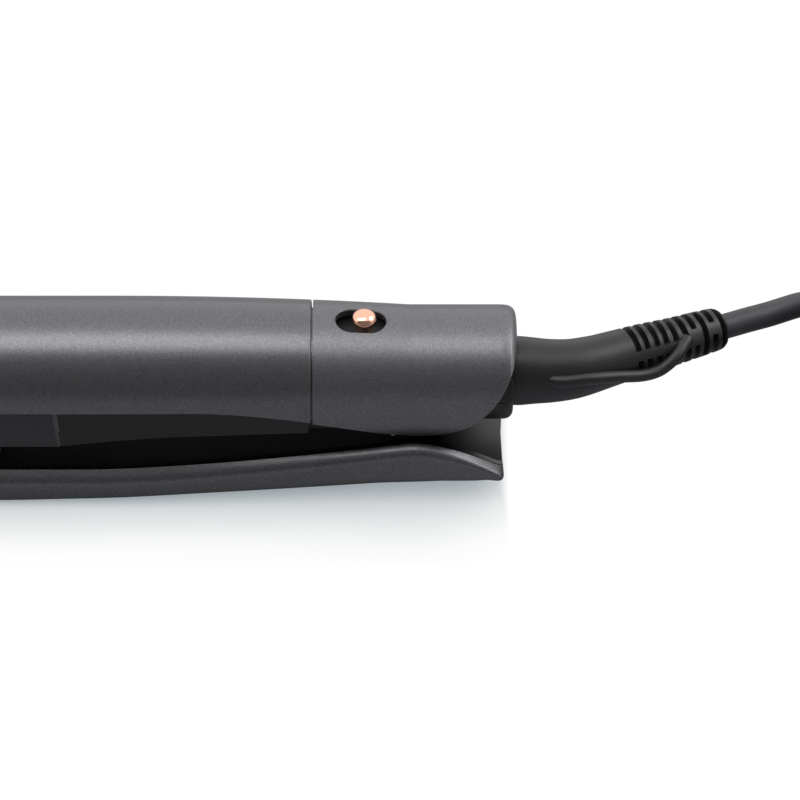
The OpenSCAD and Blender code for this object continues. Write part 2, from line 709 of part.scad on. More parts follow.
module water_seal() color("#1c1c1e") difference() {
    translate([at(valve_s), 0, spine_top - seal_h]) cylinder(d = seal_d, h = seal_h);
    translate([at(valve_s), 0, spine_top - seal_h - 1])
        cylinder(d = valve_d + 2 * seat, h = seal_h + 2);
}
knob_s = slot_s - 0.8;
module latch_slide() color("#3a2320")
    block(knob_s - 9.6, knob_s + 8.2, slide_half, slide_top - slide_t, slide_top);

// Knob: a stem, a short rim and a polished dome, standing over the tank's crown
knob_rise = arm_r(slot_s) - (tank_r - wall - 1);
module latch_knob() color("#c98365") translate([at(knob_s), 0, slide_top]) rotate_extrude()
    polygon(concat([[0, 0], [2, 0], [2, knob_rise - 0.9], [knob_d / 2 - 0.25, knob_rise - 0.5],
        [knob_d / 2, knob_rise - 0.2], [knob_d / 2, knob_rise + 0.5]],
        [for (a = [0:15:75]) [(knob_d / 2 - 0.2) * cos(a), knob_rise + 0.5 + 1.6 * sin(a)]],
        [[0, knob_rise + 2.1]]));

// Swivelling strain relief: straight in the collar, then bent away and ribbed
relief_route = [[-2, 0, 0], [3, 0, 0], [8, 0.05, -0.1], [13, 0.7, -0.15], [18, 2.5, -0.3],
    [23, 4.9, -0.55], [28, 7.4, -0.85], [33, 9.8, -1.2], [38, 12.2, -1.65], [42, 14.4, -2.1],
    [46, 16.6, -2.6], [50, 18.8, -3.1]];
relief_origin = [at(0), 0, axis_z];
function smooth_at(p, u) = let(n = len(p) - 1, f = min(max(u, 0), 0.99999) * n,
    i = floor(f), t = f - i, a = p[max(i - 1, 0)], b = p[i], c = p[i + 1],
    d = p[min(i + 2, n)])
    0.5 * ((2 * b) + (c - a) * t + (2 * a - 5 * b + 4 * c - d) * t * t
        + (3 * b - a - 3 * c + d) * t * t * t);
rib_from = 0.52;
rib_n = relief_grooves;
rib_depth = 1.1;
function relief_rad(u) = (u < 0.12 ? relief_r
    : relief_r + (relief_end_r - relief_r) * pow((u - 0.12) / 0.88, 0.8)) - fit;
rib_steps = concat([for (u = [0:0.065:rib_from - 0.02]) [u, 0]],
    [for (k = [0:rib_n - 1]) let(p = (0.9 - rib_from) / rib_n, u = rib_from + k * p)
        each [[u + 0.02 * p, 0], [u + 0.06 * p, 1], [u + 0.40 * p, 1], [u + 0.44 * p, 0]]],
    [[0.93, 0], [1, 0]]);
module lead_relief() color("#26262a") {
    along(relief_r, 0, flange_s + 0.5);
    along(flange_r, flange_s, flange_s + flange_t);
    tube([for (q = rib_steps) relief_origin + smooth_at(relief_route, q[0])],
        [for (q = rib_steps) relief_rad(q[0]) - rib_depth * q[1]], 16);
    tube([for (i = [0:16]) relief_origin + smooth_at(loop_route, i / 16)],
        [for (i = [0:16]) loop_r], 8);
}
// Hanging loop on the near side of the relief
loop_r = 1.5;
loop_route = [[5, -6.2, 2.4], [10.7, -7.2, 2.6], [17, -5.6, 2.5], [23.5, -3.3, 1], [30, -0.7, -1],
    [34, 1.2, -1.4], [36.8, 3, -0.6], [39, 5.1, 0.5], [40.4, 7.6, 1.2], [41.3, 9.5, 1.3]];

// Free lead from the relief down to the foot of the coil
coil_c = [269.8, 15.5];
coil_in = coil_r - coil_pitch * coil_turns / 2;
coil_out = coil_in + coil_pitch * coil_turns;
tie_t = 0.6;
coil_z = lead_d / 2 + tie_t + 0.15;
relief_out = unit(relief_route[len(relief_route) - 1] - relief_route[len(relief_route) - 2]);
relief_end = relief_origin + relief_route[len(relief_route) - 1];
run_route = [[211.8, 25.5, 23.5], [216.1, 29.5, 21.6], [219.8, 34.1, 18.8], [223.4, 38.8, 15.3],
    [227.4, 43, 11.5], [231.6, 46.6, 8], [236.2, 49.4, 5.3]];

// The coil spirals in and out again, and climbs a layer where the spiral turns round. It
// stops a third of a turn short, where the tail leaves it
coil_steps = 24;
coil_start = 105;
coil_short = 1 / 3;
function coil_rad(n) = let(k = floor(n / coil_turns), f = n / coil_turns - k)
    k % 2 == 0 ? coil_out - (coil_out - coil_in) * f : coil_in + (coil_out - coil_in) * f;
function coil_lift(n) = coil_pitch * (len([for (k = [1:1:coil_layers - 1])
    if (n >= k * coil_turns + 0.25) 1])
    + sum([for (k = [1:1:coil_layers - 1]) let(t = (n - k * coil_turns + 0.25) / 0.5)
        t > 0 && t < 1 ? t : 0]));
function sum(v, i = 0) = i >= len(v) ? 0 : v[i] + sum(v, i + 1);
coil_total = coil_turns * coil_layers - coil_short;
coil_height = coil_z + coil_pitch * (coil_layers - 1);
coil_path = [for (i = [0:round(coil_total * coil_steps)])
    let(n = i / coil_steps, a = coil_start - 360 * n, r = coil_rad(n))
    [coil_c[0] + r * cos(a), coil_c[1] + r * sin(a), coil_z + coil_lift(n)]];

// Least gap of a wound wire to itself, over points at least skip steps apart
function least_gap(p, skip, d) = min([for (i = [0:len(p) - 1 - skip], j = [i + skip:len(p) - 1])
    norm(p[i] - p[j])]) - d;
echo(coil_gap = least_gap(coil_path, 12, lead_d));
echo(spring_gap = least_gap(spring_coil, 5, spring_wire));

// The coil runs straight for one diameter where it meets the free stretches
function turn_dir(a) = [sin(a), -cos(a), 0];
first_dir = turn_dir(coil_start);
last_dir = turn_dir(coil_start - 360 * coil_total);
coil_first = coil_path[0] - lead_d * first_dir;
coil_last = coil_path[len(coil_path) - 1] + lead_d * last_dir;
coil_whole = concat([coil_first], coil_path, [coil_last]);
run_path = concat([for (d = [0, 4, 8]) relief_end + d * relief_out], run_route,
    [for (d = [12, 6, 0]) coil_first - d * first_dir]);
tail_route = [[230.1, -0.2, 24.7], [227.4, 5.2, 25.6], [226, 11.1, 27.1], [226.1, 17.2, 28.9],
    [227.7, 23.1, 30.8], [230.8, 28.3, 32.5], [235.2, 32.5, 33.7], [240.6, 35.3, 34.2],
    [246.6, 36.6, 34.3]];
plug_at = [259, 36.7, 34.3];
tail_path = concat([for (d = [0, 3, 6]) coil_last + d * last_dir], tail_route,
    [for (d = [7, 3.5, 0]) plug_at - [d, 0, 0]]);
module lead_stretch(path, n) color("#2a2a2e")
    tube([for (i = [0:n]) smooth_at(path, i / n)], [for (i = [0:n]) lead_d / 2], 8);
module lead_run() lead_stretch(run_path, 16);
module lead_coil() color("#2a2a2e")
    tube(coil_whole, [for (p = coil_whole) lead_d / 2], 6);
module lead_tail() lead_stretch(tail_path, 18);

// Strap that holds the coil together
tie_w = 12;
module coil_tie() color("#1b1b1d") {
    inner = coil_in - lead_d / 2 - 0.3;
    outer = coil_out + lead_d / 2 + 0.3;
    top = coil_height + lead_d / 2 + 0.3;
    translate([coil_c[0], coil_c[1], 0]) rotate([90, 0, -90]) translate([0, 0, -tie_w / 2])
        linear_extrude(height = tie_w) difference() {
            translate([inner - tie_t, 0]) square([outer - inner + 2 * tie_t, top + tie_t]);
            translate([inner, tie_t]) square([outer - inner, top - tie_t]);
        }
}

// Flat two-pin plug with its own short relief, lying on the coil
plug_relief_l = 20;
plug_l = 34;
plug_w = 33;
plug_t = 13.6;
pin_gauge = 18.6;
plug_pin_d = 4;
module plug_body() color("#2a2a2e") translate(plug_at) {
    rotate([0, 90, 0]) cylinder(r1 = lead_d / 2 + 0.6, r2 = 5.4, h = plug_relief_l);
    hull() {
        translate([plug_relief_l - 1, 0, 0]) rotate([0, 90, 0])
            cylinder(r = 5.6, h = 2, $fn = 32);
        for (y = [-1, 1]) translate([plug_relief_l + 20, y * (plug_w - plug_t + 0.4) / 2, 0])
            rotate([0, 90, 0]) cylinder(r = plug_t / 2 - 0.2, h = plug_l - 20, $fn = 32);
    }
}
module plug_pins() color("#c8c9cc") for (y = [-1, 1])
    translate(plug_at + [plug_relief_l + plug_l, y * pin_gauge / 2, 0]) rotate([0, 90, 0]) {
        cylinder(d = plug_pin_d, h = 17.5, $fn = 32);
        translate([0, 0, 17.5]) sphere(d = plug_pin_d, $fn = 32);
    }

lower_casing();
lower_liner();
lower_housing();
lower_tip();
lower_heater();
plate_pads();
hinge_pin();
hinge_spring();
lower_screws();
lower_plate();
chassis();
collar_cap();
upper_casing();
upper_housing();
upper_tip();
upper_plate();
upper_heater();
steam_bar();
steam_chamber();
water_pump();
water_pipe();
water_seal();
circuit_board();
display_window();
hinge_bushes();
upper_screws();
power_button();
plus_button();
minus_button();
steam_button();
tank_shell();
tank_vessel();
tank_valve();
latch_slide();
latch_knob();
lead_relief();
lead_run();
lead_coil();
coil_tie();
lead_tail();
plug_body();
plug_pins();
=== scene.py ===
"""Steam hair straightener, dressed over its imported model: closed arms lying on a pale table.

Shapes are worked out in millimetres and stored in metres. A place along the arms is its
distance s in front of the water tank's rear face.
"""
import math

import bmesh
import bpy
from mathutils import Matrix, Vector


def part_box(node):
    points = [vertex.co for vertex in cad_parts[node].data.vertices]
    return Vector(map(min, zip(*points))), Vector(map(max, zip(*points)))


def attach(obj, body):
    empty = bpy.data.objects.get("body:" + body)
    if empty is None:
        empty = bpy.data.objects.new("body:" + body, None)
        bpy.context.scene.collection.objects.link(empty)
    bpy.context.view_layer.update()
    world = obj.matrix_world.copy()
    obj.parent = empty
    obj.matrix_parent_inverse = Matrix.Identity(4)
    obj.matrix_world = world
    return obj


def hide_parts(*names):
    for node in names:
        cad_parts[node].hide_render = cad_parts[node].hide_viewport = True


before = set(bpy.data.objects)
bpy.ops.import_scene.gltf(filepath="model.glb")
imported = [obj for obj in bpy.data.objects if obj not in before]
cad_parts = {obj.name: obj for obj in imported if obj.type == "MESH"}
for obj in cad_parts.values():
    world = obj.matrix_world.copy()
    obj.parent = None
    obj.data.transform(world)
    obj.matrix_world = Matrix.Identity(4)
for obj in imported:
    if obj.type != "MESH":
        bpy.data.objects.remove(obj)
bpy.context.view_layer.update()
MM = 0.001

# Camera: a long lens over the near long side, on the rear end of the arms, as the
# photograph was taken. The photograph spans 193.7 mm at the arms' axis.
axis_z = 28.4


def box_of(node):
    """Both corners of a CAD solid's box, in millimetres."""
    return [Vector(corner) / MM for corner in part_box(node)]


rear_x = box_of("tank_shell")[1].x
view_elevation = math.radians(43)
view_distance = 1600
view_width = 193.7
view_centre = Vector((121.9, 0, 18.7))
view_back = Vector((0, -math.cos(view_elevation), math.sin(view_elevation)))


def linked(name, data):
    """A new object with that data, in the scene."""
    made = bpy.data.objects.new(name, data)
    bpy.context.scene.collection.objects.link(made)
    return made


lens = bpy.data.cameras.new("camera")
lens.sensor_width = 36
lens.lens = lens.sensor_width * view_distance / view_width
lens.clip_start, lens.clip_end = 0.05, 20
camera = linked("camera", lens)
camera.location = (view_centre + view_back * view_distance) * MM
camera.rotation_mode = "QUATERNION"
camera.rotation_quaternion = (-view_back).to_track_quat("-Z", "Y")
bpy.context.scene.camera = camera


def at(s):
    return rear_x - s


# Mains lead: a round flexible sheath. It sags from the relief to the table and winds up into
# a coil of spare length, in and out again in four layers, with the plug lying on top. The
# coil lies on the table beside the object, where the photograph's view ends.
lead_d = 6.2
relief_start = Vector((rear_x, 0, axis_z))
relief_route = [(-2, 0, 0), (3, 0, 0), (8, 0.05, -0.1), (13, 0.7, -0.15), (18, 2.5, -0.3),
                (23, 4.9, -0.55), (28, 7.4, -0.85), (33, 9.8, -1.2), (38, 12.2, -1.65),
                (42, 14.4, -2.1), (46, 16.6, -2.6), (50, 18.8, -3.1)]
relief_line = [relief_start + Vector(p) for p in relief_route]
relief_end = relief_line[-1]
relief_out = (relief_line[-1] - relief_line[-2]).normalized()
coil_x, coil_y = 269.8, 15.5
coil_pitch, coil_turns, coil_layers, coil_radius = 6.8, 3, 4, 32
coil_climb = 0.5
coil_bottom = lead_d / 2 + 0.75
coil_start = math.radians(105)
coil_steps = 48
coil_count = 560


def unit_step(value):
    return max(0, min(1, value))


def soft_step(value, low, high):
    t = unit_step((value - low) / (high - low))
    return t * t * (3 - 2 * t)


def smooth_point(points, share):
    """The point at that share of the way along a smooth curve through the given ones."""
    last = len(points) - 1
    k = min(int(share * last), last - 1)
    t = share * last - k
    a, b, c, d = points[max(k - 1, 0)], points[k], points[k + 1], points[min(k + 2, last)]
    return 0.5 * (2 * b + (c - a) * t + (2 * a - 5 * b + 4 * c - d) * t ** 2
                  + (3 * b - a - 3 * c + d) * t ** 3)


def smooth_path(points, steps):
    given = [Vector(p) for p in points]
    return [smooth_point(given, min(i / steps, 0.99999)) for i in range(steps + 1)]


def coil_point(turn):
    """Middle of the lead after so many turns, first inward, then outward a layer higher."""
    layer = min(int(turn / coil_turns), coil_layers - 1)
    along = turn / coil_turns - layer
    inward = along if layer % 2 == 0 else 1 - along
    radius = coil_radius + coil_pitch * coil_turns * (0.5 - inward)
    rise = 0
    for k in range(1, coil_layers):
        rise += soft_step(turn - k * coil_turns, -coil_climb / 2, coil_climb / 2)
    angle = coil_start - 2 * math.pi * turn
    return Vector((coil_x + radius * math.cos(angle), coil_y + radius * math.sin(angle),
                   coil_bottom + coil_pitch * rise))


coil_line = [coil_point(i / coil_steps) for i in range(coil_count + 1)]
coil_end = coil_start - 2 * math.pi * coil_count / coil_steps
first_way = Vector((math.sin(coil_start), -math.cos(coil_start), 0))
last_way = Vector((math.sin(coil_end), -math.cos(coil_end), 0))
coil_first = coil_line[0] - lead_d * first_way
coil_last = coil_line[-1] + lead_d * last_way
plug_at = Vector((259, 36.7, 34.3))
run_line = smooth_path(
    [relief_end + d * relief_out for d in (0, 4, 8)]
    + [(211.8, 25.5, 23.5), (216.1, 29.5, 21.6), (219.8, 34.1, 18.8), (223.4, 38.8, 15.3),
       (227.4, 43, 11.5), (231.6, 46.6, 8), (236.2, 49.4, 5.3)]
    + [coil_first - d * first_way for d in (12, 6, 0)], 60)
tail_line = smooth_path(
    [coil_last + d * last_way for d in (0, 3, 6)]
    + [(230.1, -0.2, 24.7), (227.4, 5.2, 25.6), (226, 11.1, 27.1), (226.1, 17.2, 28.9),
       (227.7, 23.1, 30.8), (230.8, 28.3, 32.5), (235.2, 32.5, 33.7), (240.6, 35.3, 34.2),
       (246.6, 36.6, 34.3)]
    + [plug_at - Vector((d, 0, 0)) for d in (7, 3.5, 0)], 60)
lead_line = run_line + coil_line + tail_line
lead_length = MM * sum((b - a).length for a, b in zip(lead_line, lead_line[1:]))


def path_curve(name, points):
    """A curve object that runs straight from point to point."""
    line = bpy.data.curves.new(name, "CURVE")
    line.dimensions = "3D"
    strand = line.splines.new("POLY")
    strand.points.add(len(points) - 1)
    for point, spot in zip(strand.points, points):
        point.co = (*(Vector(spot) * MM), 1)
    return linked(name, line)


lead_sheath = path_curve("mains_lead_sheath", lead_line)
lead_sheath.data.bevel_depth = lead_d / 2 * MM
lead_sheath.data.bevel_resolution = 6
lead_sheath.data.splines[0].use_smooth = True


class Wire:
    """A socket of a node tree; arithmetic on it adds Math nodes."""

    def __init__(self, tree, socket):
        self.tree = tree
        self.socket = socket

    def math(self, operation, *others):
        values = {0: self, **{i + 1: other for i, other in enumerate(others)}}
        return add(self.tree, "ShaderNodeMath", values, operation=operation)

    def __add__(self, other):
        return self.math("ADD", other)

    def __sub__(self, other):
        return self.math("SUBTRACT", other)

    def __mul__(self, other):
        return self.math("MULTIPLY", other)

    def __rsub__(self, other):
        return add(self.tree, "ShaderNodeMath", {0: other, 1: self}, operation="SUBTRACT")

    def smooth(self, low, high):
        """0 below low, 1 above high, and a smooth step between them."""
        values = {"Value": self, "From Min": low, "From Max": high}
        return add(self.tree, "ShaderNodeMapRange", values, interpolation_type="SMOOTHSTEP")

    __radd__ = __add__
    __rmul__ = __mul__


def add(tree, kind, values, outlet=0, **settings):
    """Adds a node: first its settings, then the values or links of its sockets."""
    node = tree.nodes.new(kind)
    for name, value in settings.items():
        setattr(node, name, value)
    for place, value in values.items():
        if isinstance(value, Wire):
            tree.links.new(value.socket, node.inputs[place])
        else:
            node.inputs[place].default_value = value
    return Wire(tree, node.outputs[outlet])


def finish_named(name, colour, roughness, metallic=0.0, uneven=None, **sockets):
    """A material with one main shader, which is returned with its tree, shader and
    coordinates. Uneven is the lowest roughness, its spread, and the noise that varies it."""
    material = bpy.data.materials.new(name)
    material.use_nodes = True
    tree = material.node_tree
    shader = tree.nodes["Principled BSDF"]
    shader.inputs["Base Color"].default_value = (*colour, 1)
    shader.inputs["Roughness"].default_value = roughness
    shader.inputs["Metallic"].default_value = metallic
    for socket, value in sockets.items():
        shader.inputs[socket.replace("_", " ")].default_value = value
    place = add(tree, "ShaderNodeTexCoord", {}, outlet="Object")
    if uneven:
        low, spread, *kind = uneven
        feed(tree, low + spread * noise(tree, place, *kind), shader, "Roughness")
    return material, tree, shader, place


def feed(tree, wire, shader, socket):
    tree.links.new(wire.socket, shader.inputs[socket])


def noise(tree, place, scale, detail=2.0, roughness=0.5):
    return add(tree, "ShaderNodeTexNoise",
               {"Vector": place, "Scale": scale, "Detail": detail, "Roughness": roughness})


def blend_colours(tree, factor, first, second):
    return add(tree, "ShaderNodeMix", {"Factor": factor, 6: (*first, 1), 7: (*second, 1)},
               outlet=2, data_type="RGBA")


def tint(tree, shader, factor, first, second):
    feed(tree, blend_colours(tree, factor, first, second), shader, "Base Color")


def along_axis(tree, place, axis):
    return add(tree, "ShaderNodeSeparateXYZ", {"Vector": place}, outlet=axis)


def rough_skin(tree, shader, place, scale, height, detail=3.0):
    """Fine moulded or sprayed unevenness, as a bump of that height in millimetres."""
    bump = add(tree, "ShaderNodeBump", {"Strength": 1.0, "Distance": height * MM,
                                        "Height": noise(tree, place, scale, detail)})
    feed(tree, bump, shader, "Normal")


lead_pvc, tree, shader, place = finish_named("matte_lead_sheath", (0.036, 0.036, 0.041), 0.5,
                                             uneven=(0.42, 0.16, 900))
tint(tree, shader, noise(tree, place, 260), (0.031, 0.031, 0.036), (0.043, 0.043, 0.049))
rough_skin(tree, shader, place, 2600, 0.012)
lead_sheath.data.materials.append(lead_pvc)
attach(lead_sheath, "mains_lead")
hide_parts("lead_run", "lead_coil", "lead_tail")

# Water tank shell: the sprayed rear end of the upper arm, which lifts off. It is a moulded
# shell round the arm's axis, domed at the rear, with a long oval slot for the latch knob.
wall = 1.8
tank_l, tank_r, dome_l, dome_face_r, dome_power = 49, 16, 5.8, 8.8, 4.5
hole_r = 8.65
grip_r = box_of("upper_casing")[1].y
nose_r, body_l, nose_l = 16.8, 300, 16
swell_s, swell_l, taper_s = 26, 71, 130
edge_z, belly_z, belly_s = axis_z + 2.1, axis_z - 9.6, 24.5
rear_edge = [(-0.5, axis_z + 14), (3, axis_z + 4.5), (12, belly_z), (belly_s, belly_z)]
side_edge = [(belly_s, belly_z), (27, belly_z), (50, edge_z), (80, edge_z)]
slot_l, slot_w, slot_s = 12.2, 7.9, 37.5
lip_round = 0.35


def cosd(degrees):
    return math.cos(math.radians(degrees))


def sind(degrees):
    return math.sin(math.radians(degrees))


def arm_radius(s):
    """Radius of the upper arm: domed at the rear, swollen at the grip, slimmer at the nose."""
    if s < dome_l:
        full = max(0, 1 - (1 - s / dome_l) ** dome_power) ** (1 / dome_power)
        return dome_face_r + (tank_r - dome_face_r) * full
    if s < taper_s:
        swell = 1 - (1 - unit_step((s - swell_s) / swell_l)) ** 2
        return tank_r + (grip_r - tank_r) * swell
    return grip_r - (grip_r - nose_r) * ((s - taper_s) / (body_l - taper_s)) ** 2


def bezier(t, a, b, c, d):
    u = 1 - t
    return u ** 3 * a + 3 * u * u * t * b + 3 * u * t * t * c + t ** 3 * d


def edge_height(s):
    """Height of the upper shell's lower edge, from two curves in side view."""
    if s >= side_edge[3][0]:
        return edge_z
    reaches, heights = zip(*(rear_edge if s < belly_s else side_edge))
    low, high = 0.0, 1.0
    for _ in range(40):
        t = (low + high) / 2
        low, high = (t, high) if bezier(t, *reaches) < s else (low, t)
    return bezier(t, *heights)


def span(low, high, count):
    return [low + (high - low) * i / count for i in range(count + 1)]


def skin(rings, folded=False):
    """A closed mesh over rings of equally many points. A folded ring is a band that runs
    out along one side and back along the other, and its ends are closed across the band."""
    mesh = bmesh.new()
    rows = [[mesh.verts.new(Vector(p) * MM) for p in ring] for ring in rings]
    count = len(rings[0])
    for first, second in zip(rows, rows[1:]):
        for i in range(count):
            j = (i + 1) % count
            mesh.faces.new((first[i], second[i], second[j], first[j]))
    for row, back in ((rows[0], False), (rows[-1], True)):
        if folded:
            for i in range(count // 2 - 1):
                j = count - 1 - i
                face = (row[i], row[i + 1], row[j - 1], row[j])
                mesh.faces.new(face[::-1] if back else face)
        else:
            mesh.faces.new(row[::-1] if back else row)
    bmesh.ops.remove_doubles(mesh, verts=mesh.verts, dist=1e-7)
    bmesh.ops.recalc_face_normals(mesh, faces=mesh.faces)
    return mesh


def solid(name, mesh):
    """An object with that working mesh, which is used up."""
    data = bpy.data.meshes.new(name)
    mesh.to_mesh(data)
    mesh.free()
    return linked(name, data)


def piece(name, mesh, material, body, slot, *nodes, bevel=0.0, segments=3, cutters=(),
          angle=35, creases=40, weighted=True):
    """Finishes a mesh: rounds its edges, makes its cut-outs, and puts it on its body."""
    made = solid(name, mesh)
    if bevel:
        rounding = made.modifiers.new("rounding", "BEVEL")
        rounding.width = bevel * MM
        rounding.segments = segments
        rounding.limit_method = "ANGLE"
        rounding.angle_limit = math.radians(angle)
    for cutter in cutters:
        cut = made.modifiers.new("cut", "BOOLEAN")
        cut.operation = "DIFFERENCE"
        cut.solver = "EXACT"
        cut.object = cutter
    apply_modifiers(made)
    for cutter in cutters:
        bpy.data.objects.remove(cutter)
    for face in made.data.polygons:
        face.use_smooth = True
    made.data.set_sharp_from_angle(angle=math.radians(creases))
    if weighted:
        even = made.modifiers.new("even", "WEIGHTED_NORMAL")
        even.keep_sharp = True
        apply_modifiers(made)
    made.data.materials.clear()
    made.data.materials.append(material)
    registered(made, body, slot, *nodes)
    return made


def registered(made, body, slot, *nodes):
    """Puts an object on its body, in place of the CAD solids it stands for; the slot is not
    used.
    """
    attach(made, body)
    if nodes:
        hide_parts(*nodes)


def apply_modifiers(made):
    """Turns what the modifiers give into the object's own plain mesh."""
    bpy.context.view_layer.update()
    evaluated = made.evaluated_get(bpy.context.evaluated_depsgraph_get())
    data = bpy.data.meshes.new_from_object(evaluated)
    made.modifiers.clear()
    made.data = data


def shell_ring(s, outer, inner, steps=96):
    """One section of a shell open below: out over the crown and back inside the wall."""
    edge = edge_height(s) - axis_z
    ring = []
    for radius, way in ((outer, 1), (inner, -1)):
        reach = math.acos(max(-1, min(1, edge / radius)))
        for i in range(steps + 1):
            turn = way * reach * (2 * i / steps - 1)
            ring.append((at(s), radius * math.sin(turn), axis_z + radius * math.cos(turn)))
    return ring


def surface_cutter(outline, flare=0.25, deep=6):
    """A cutter of that outline, as (s, y) points, with a flare that follows the crown."""
    middle = sum((Vector(p) for p in outline), Vector((0, 0))) / len(outline)

    def rim(grow, drop):
        ring = []
        for p in outline:
            out = (Vector(p) - middle).normalized()
            s, y = p[0] + out.x * grow, p[1] + out.y * grow
            ring.append((at(s), y, axis_z + math.sqrt(arm_radius(s) ** 2 - y * y) + drop))
        return ring

    made = solid("cutter", skin([rim(0, -deep), rim(0, -flare), rim(flare, 0.02),
                                 rim(flare + 0.3, 3)]))
    made.hide_render = True
    return made


def oval(middle, length, width, steps=24):
    """Outline of a long hole with round ends, as (s, y) points."""
    run = (length - width) / 2
    ends = [(run, -90), (-run, 90)]
    return [(middle + shift + width / 2 * cosd(start + 180 * i / steps),
             width / 2 * sind(start + 180 * i / steps))
            for shift, start in ends for i in range(steps + 1)]


def sparkling_paint(name, gloss=0.26, painted_light_gain=1.0):
    """Metallic charcoal lacquer: fine flakes that catch the light, and a soft gloss. A second
    factor above one makes a paler copy, which is painted light.
    """
    material, tree, shader, place = finish_named(name, (0.14, 0.138, 0.147), 0.32, 0.8,
                                                 Specular_IOR_Level=0.4)
    flake = add(tree, "ShaderNodeTexVoronoi", {"Vector": place, "Scale": 5200.0},
                outlet="Color")
    grain = noise(tree, place, 6400, 1)
    lift = add(tree, "ShaderNodeSeparateColor", {"Color": flake}, outlet=0)
    tint(tree, shader, lift.smooth(0.1, 0.95), [painted_light_gain * c for c in (0.118, 0.116, 0.125)],
         [painted_light_gain * c for c in (0.168, 0.166, 0.176)])
    feed(tree, gloss + 0.07 * grain, shader, "Roughness")
    bump = add(tree, "ShaderNodeBump", {"Strength": 0.4, "Distance": 0.014 * MM,
                                        "Height": lift + grain})
    feed(tree, bump, shader, "Normal")
    return material


paint = sparkling_paint("charcoal_flake_lacquer")
# The tank's copy is rougher, and is painted paler as painted light on the tank.
tank_paint_painted_paler = sparkling_paint("charcoal_flake_lacquer_tank", 0.34, 1.12)
dome_stops = [dome_l * (1 - cosd(a)) for a in range(0, 90, 5)]
tank_stops = dome_stops + span(dome_l, tank_l, 44)
tank_rings = [shell_ring(s, arm_radius(s), hole_r) for s in tank_stops if s < wall]
tank_rings.append(shell_ring(wall, arm_radius(wall), hole_r))
tank_rings.append(shell_ring(wall + 0.01, arm_radius(wall), arm_radius(wall) - wall))
tank_rings += [shell_ring(s, arm_radius(s), arm_radius(s) - wall) for s in tank_stops
               if s > wall]
slot_cutter = surface_cutter(oval(slot_s, slot_l, slot_w))
piece("tank_shell_painted", skin(tank_rings, folded=True), tank_paint_painted_paler, "tank",
      "charcoal_paint", "tank_shell", bevel=lip_round, cutters=[slot_cutter])

# Latch knob: a small turned button, plated in bright copper, on a stem that passes through
# the slot to the sliding latch plate under the crown.
copper = finish_named("polished_copper_plate", (0.86, 0.47, 0.34), 0.09, 1.0,
                      (0.06, 0.07, 420))[0]
knob_lo, knob_hi = box_of("latch_knob")
knob_x, knob_r = (knob_lo.x + knob_hi.x) / 2, (knob_hi.x - knob_lo.x) / 2
knob_rise, stem_r = knob_hi.z - knob_lo.z, 2.0


def turned(profile, steps=64, axis="Z", place=(0, 0, 0)):
    """A solid of revolution of (radius, height) points about an axis through a place."""
    rings = []
    for radius, height in profile:
        ring = []
        for i in range(steps):
            turn = 2 * math.pi * i / steps
            a, b = max(radius, 0.001) * math.cos(turn), max(radius, 0.001) * math.sin(turn)
            point = {"Z": (a, b, height), "Y": (b, height, a), "X": (height, a, b)}[axis]
            ring.append(Vector(place) + Vector(point))
        rings.append(ring)
    return skin(rings)


knob_profile = [(0.0, 0.0), (stem_r, 0.0), (stem_r, knob_rise - 3.1),
                (stem_r + 0.1, knob_rise - 3.0), (knob_r - 0.35, knob_rise - 2.75),
                (knob_r - 0.08, knob_rise - 2.5), (knob_r, knob_rise - 2.2),
                (knob_r, knob_rise - 1.75), (knob_r - 0.08, knob_rise - 1.55)]
knob_profile += [((knob_r - 0.16) * cosd(a),
                  knob_rise - 1.5 + 1.5 * sind(a)) for a in range(4, 91, 6)]
piece("latch_knob_plated", turned(knob_profile, 96, place=(knob_x, 0, knob_lo.z)),
      copper, "latch", "copper_plate", "latch_knob", weighted=False, creases=50)

# Upper casing: the painted grip shell of the upper arm, turned about the arm's axis, with
# bores for the four buttons and a long window for the display.
button_d, button_s, button_pitch, window_l, window_w = 8, 134, 11, 20, 9
line_gap, button_play, window_play, window_space = 0.4, 0.3, 0.15, 3
bore_d = button_d + 2 * button_play
window_s = button_s + button_pitch / 2 + window_l / 2 + window_space
keys_s = window_s + window_l / 2 + window_space + button_d / 2 + 0.5
button_places = [button_s] + [keys_s + i * button_pitch for i in range(3)]
casing_stops = (span(tank_l + line_gap, 60, 8) + span(62, 130, 34)
                + span(134, body_l - nose_l, 40))
casing_rings = [shell_ring(s, arm_radius(s), arm_radius(s) - wall) for s in casing_stops]
casing_cuts = [surface_cutter(oval(s, bore_d, bore_d - 0.001)) for s in button_places]
casing_cuts.append(surface_cutter(oval(window_s, window_l + 2 * window_play,
                                       window_w + 2 * window_play), flare=0.15))
piece("upper_casing_painted", skin(casing_rings, folded=True), paint, "upper_arm",
      "charcoal_paint", "upper_casing", bevel=lip_round, cutters=casing_cuts)

# Lip behind the part line: the casing's thin inner rim, on which the tank's shell seats. It
# is moulded in one with the casing and painted with it.
lip_t = 0.9
lip_steps = [(tank_l - 0.7, 0.1), (tank_l + line_gap, 0.1), (tank_l + line_gap + 0.05, -0.1),
             (tank_l + 2, -0.1)]
lip_rings = [shell_ring(s, arm_radius(s) - wall - gap, arm_radius(s) - wall - lip_t)
             for s, gap in lip_steps]
piece("casing_joint_lip", skin(lip_rings, folded=True), paint, "upper_arm", "charcoal_paint")

# Swivel collar: two dark half shells round the head of the relief. The lower one is moulded
# on the chassis, and the upper one is screwed to it and runs up under the tank's dome.
black_plastic, tree, shader, place = finish_named("black_satin_moulding",
                                                  (0.016, 0.015, 0.016), 0.4,
                                                  uneven=(0.3, 0.18, 700),
                                                  Specular_IOR_Level=0.3)
rough_skin(tree, shader, place, 1800, 0.01)
collar_r, bore_r, collar_s, collar_end_s = 11.6, 8.45, 0.9, 14
flange_bore, groove_s, groove_end_s = 10, 3.8, 7.8
cap_round, low_round = 0.45, 2.2


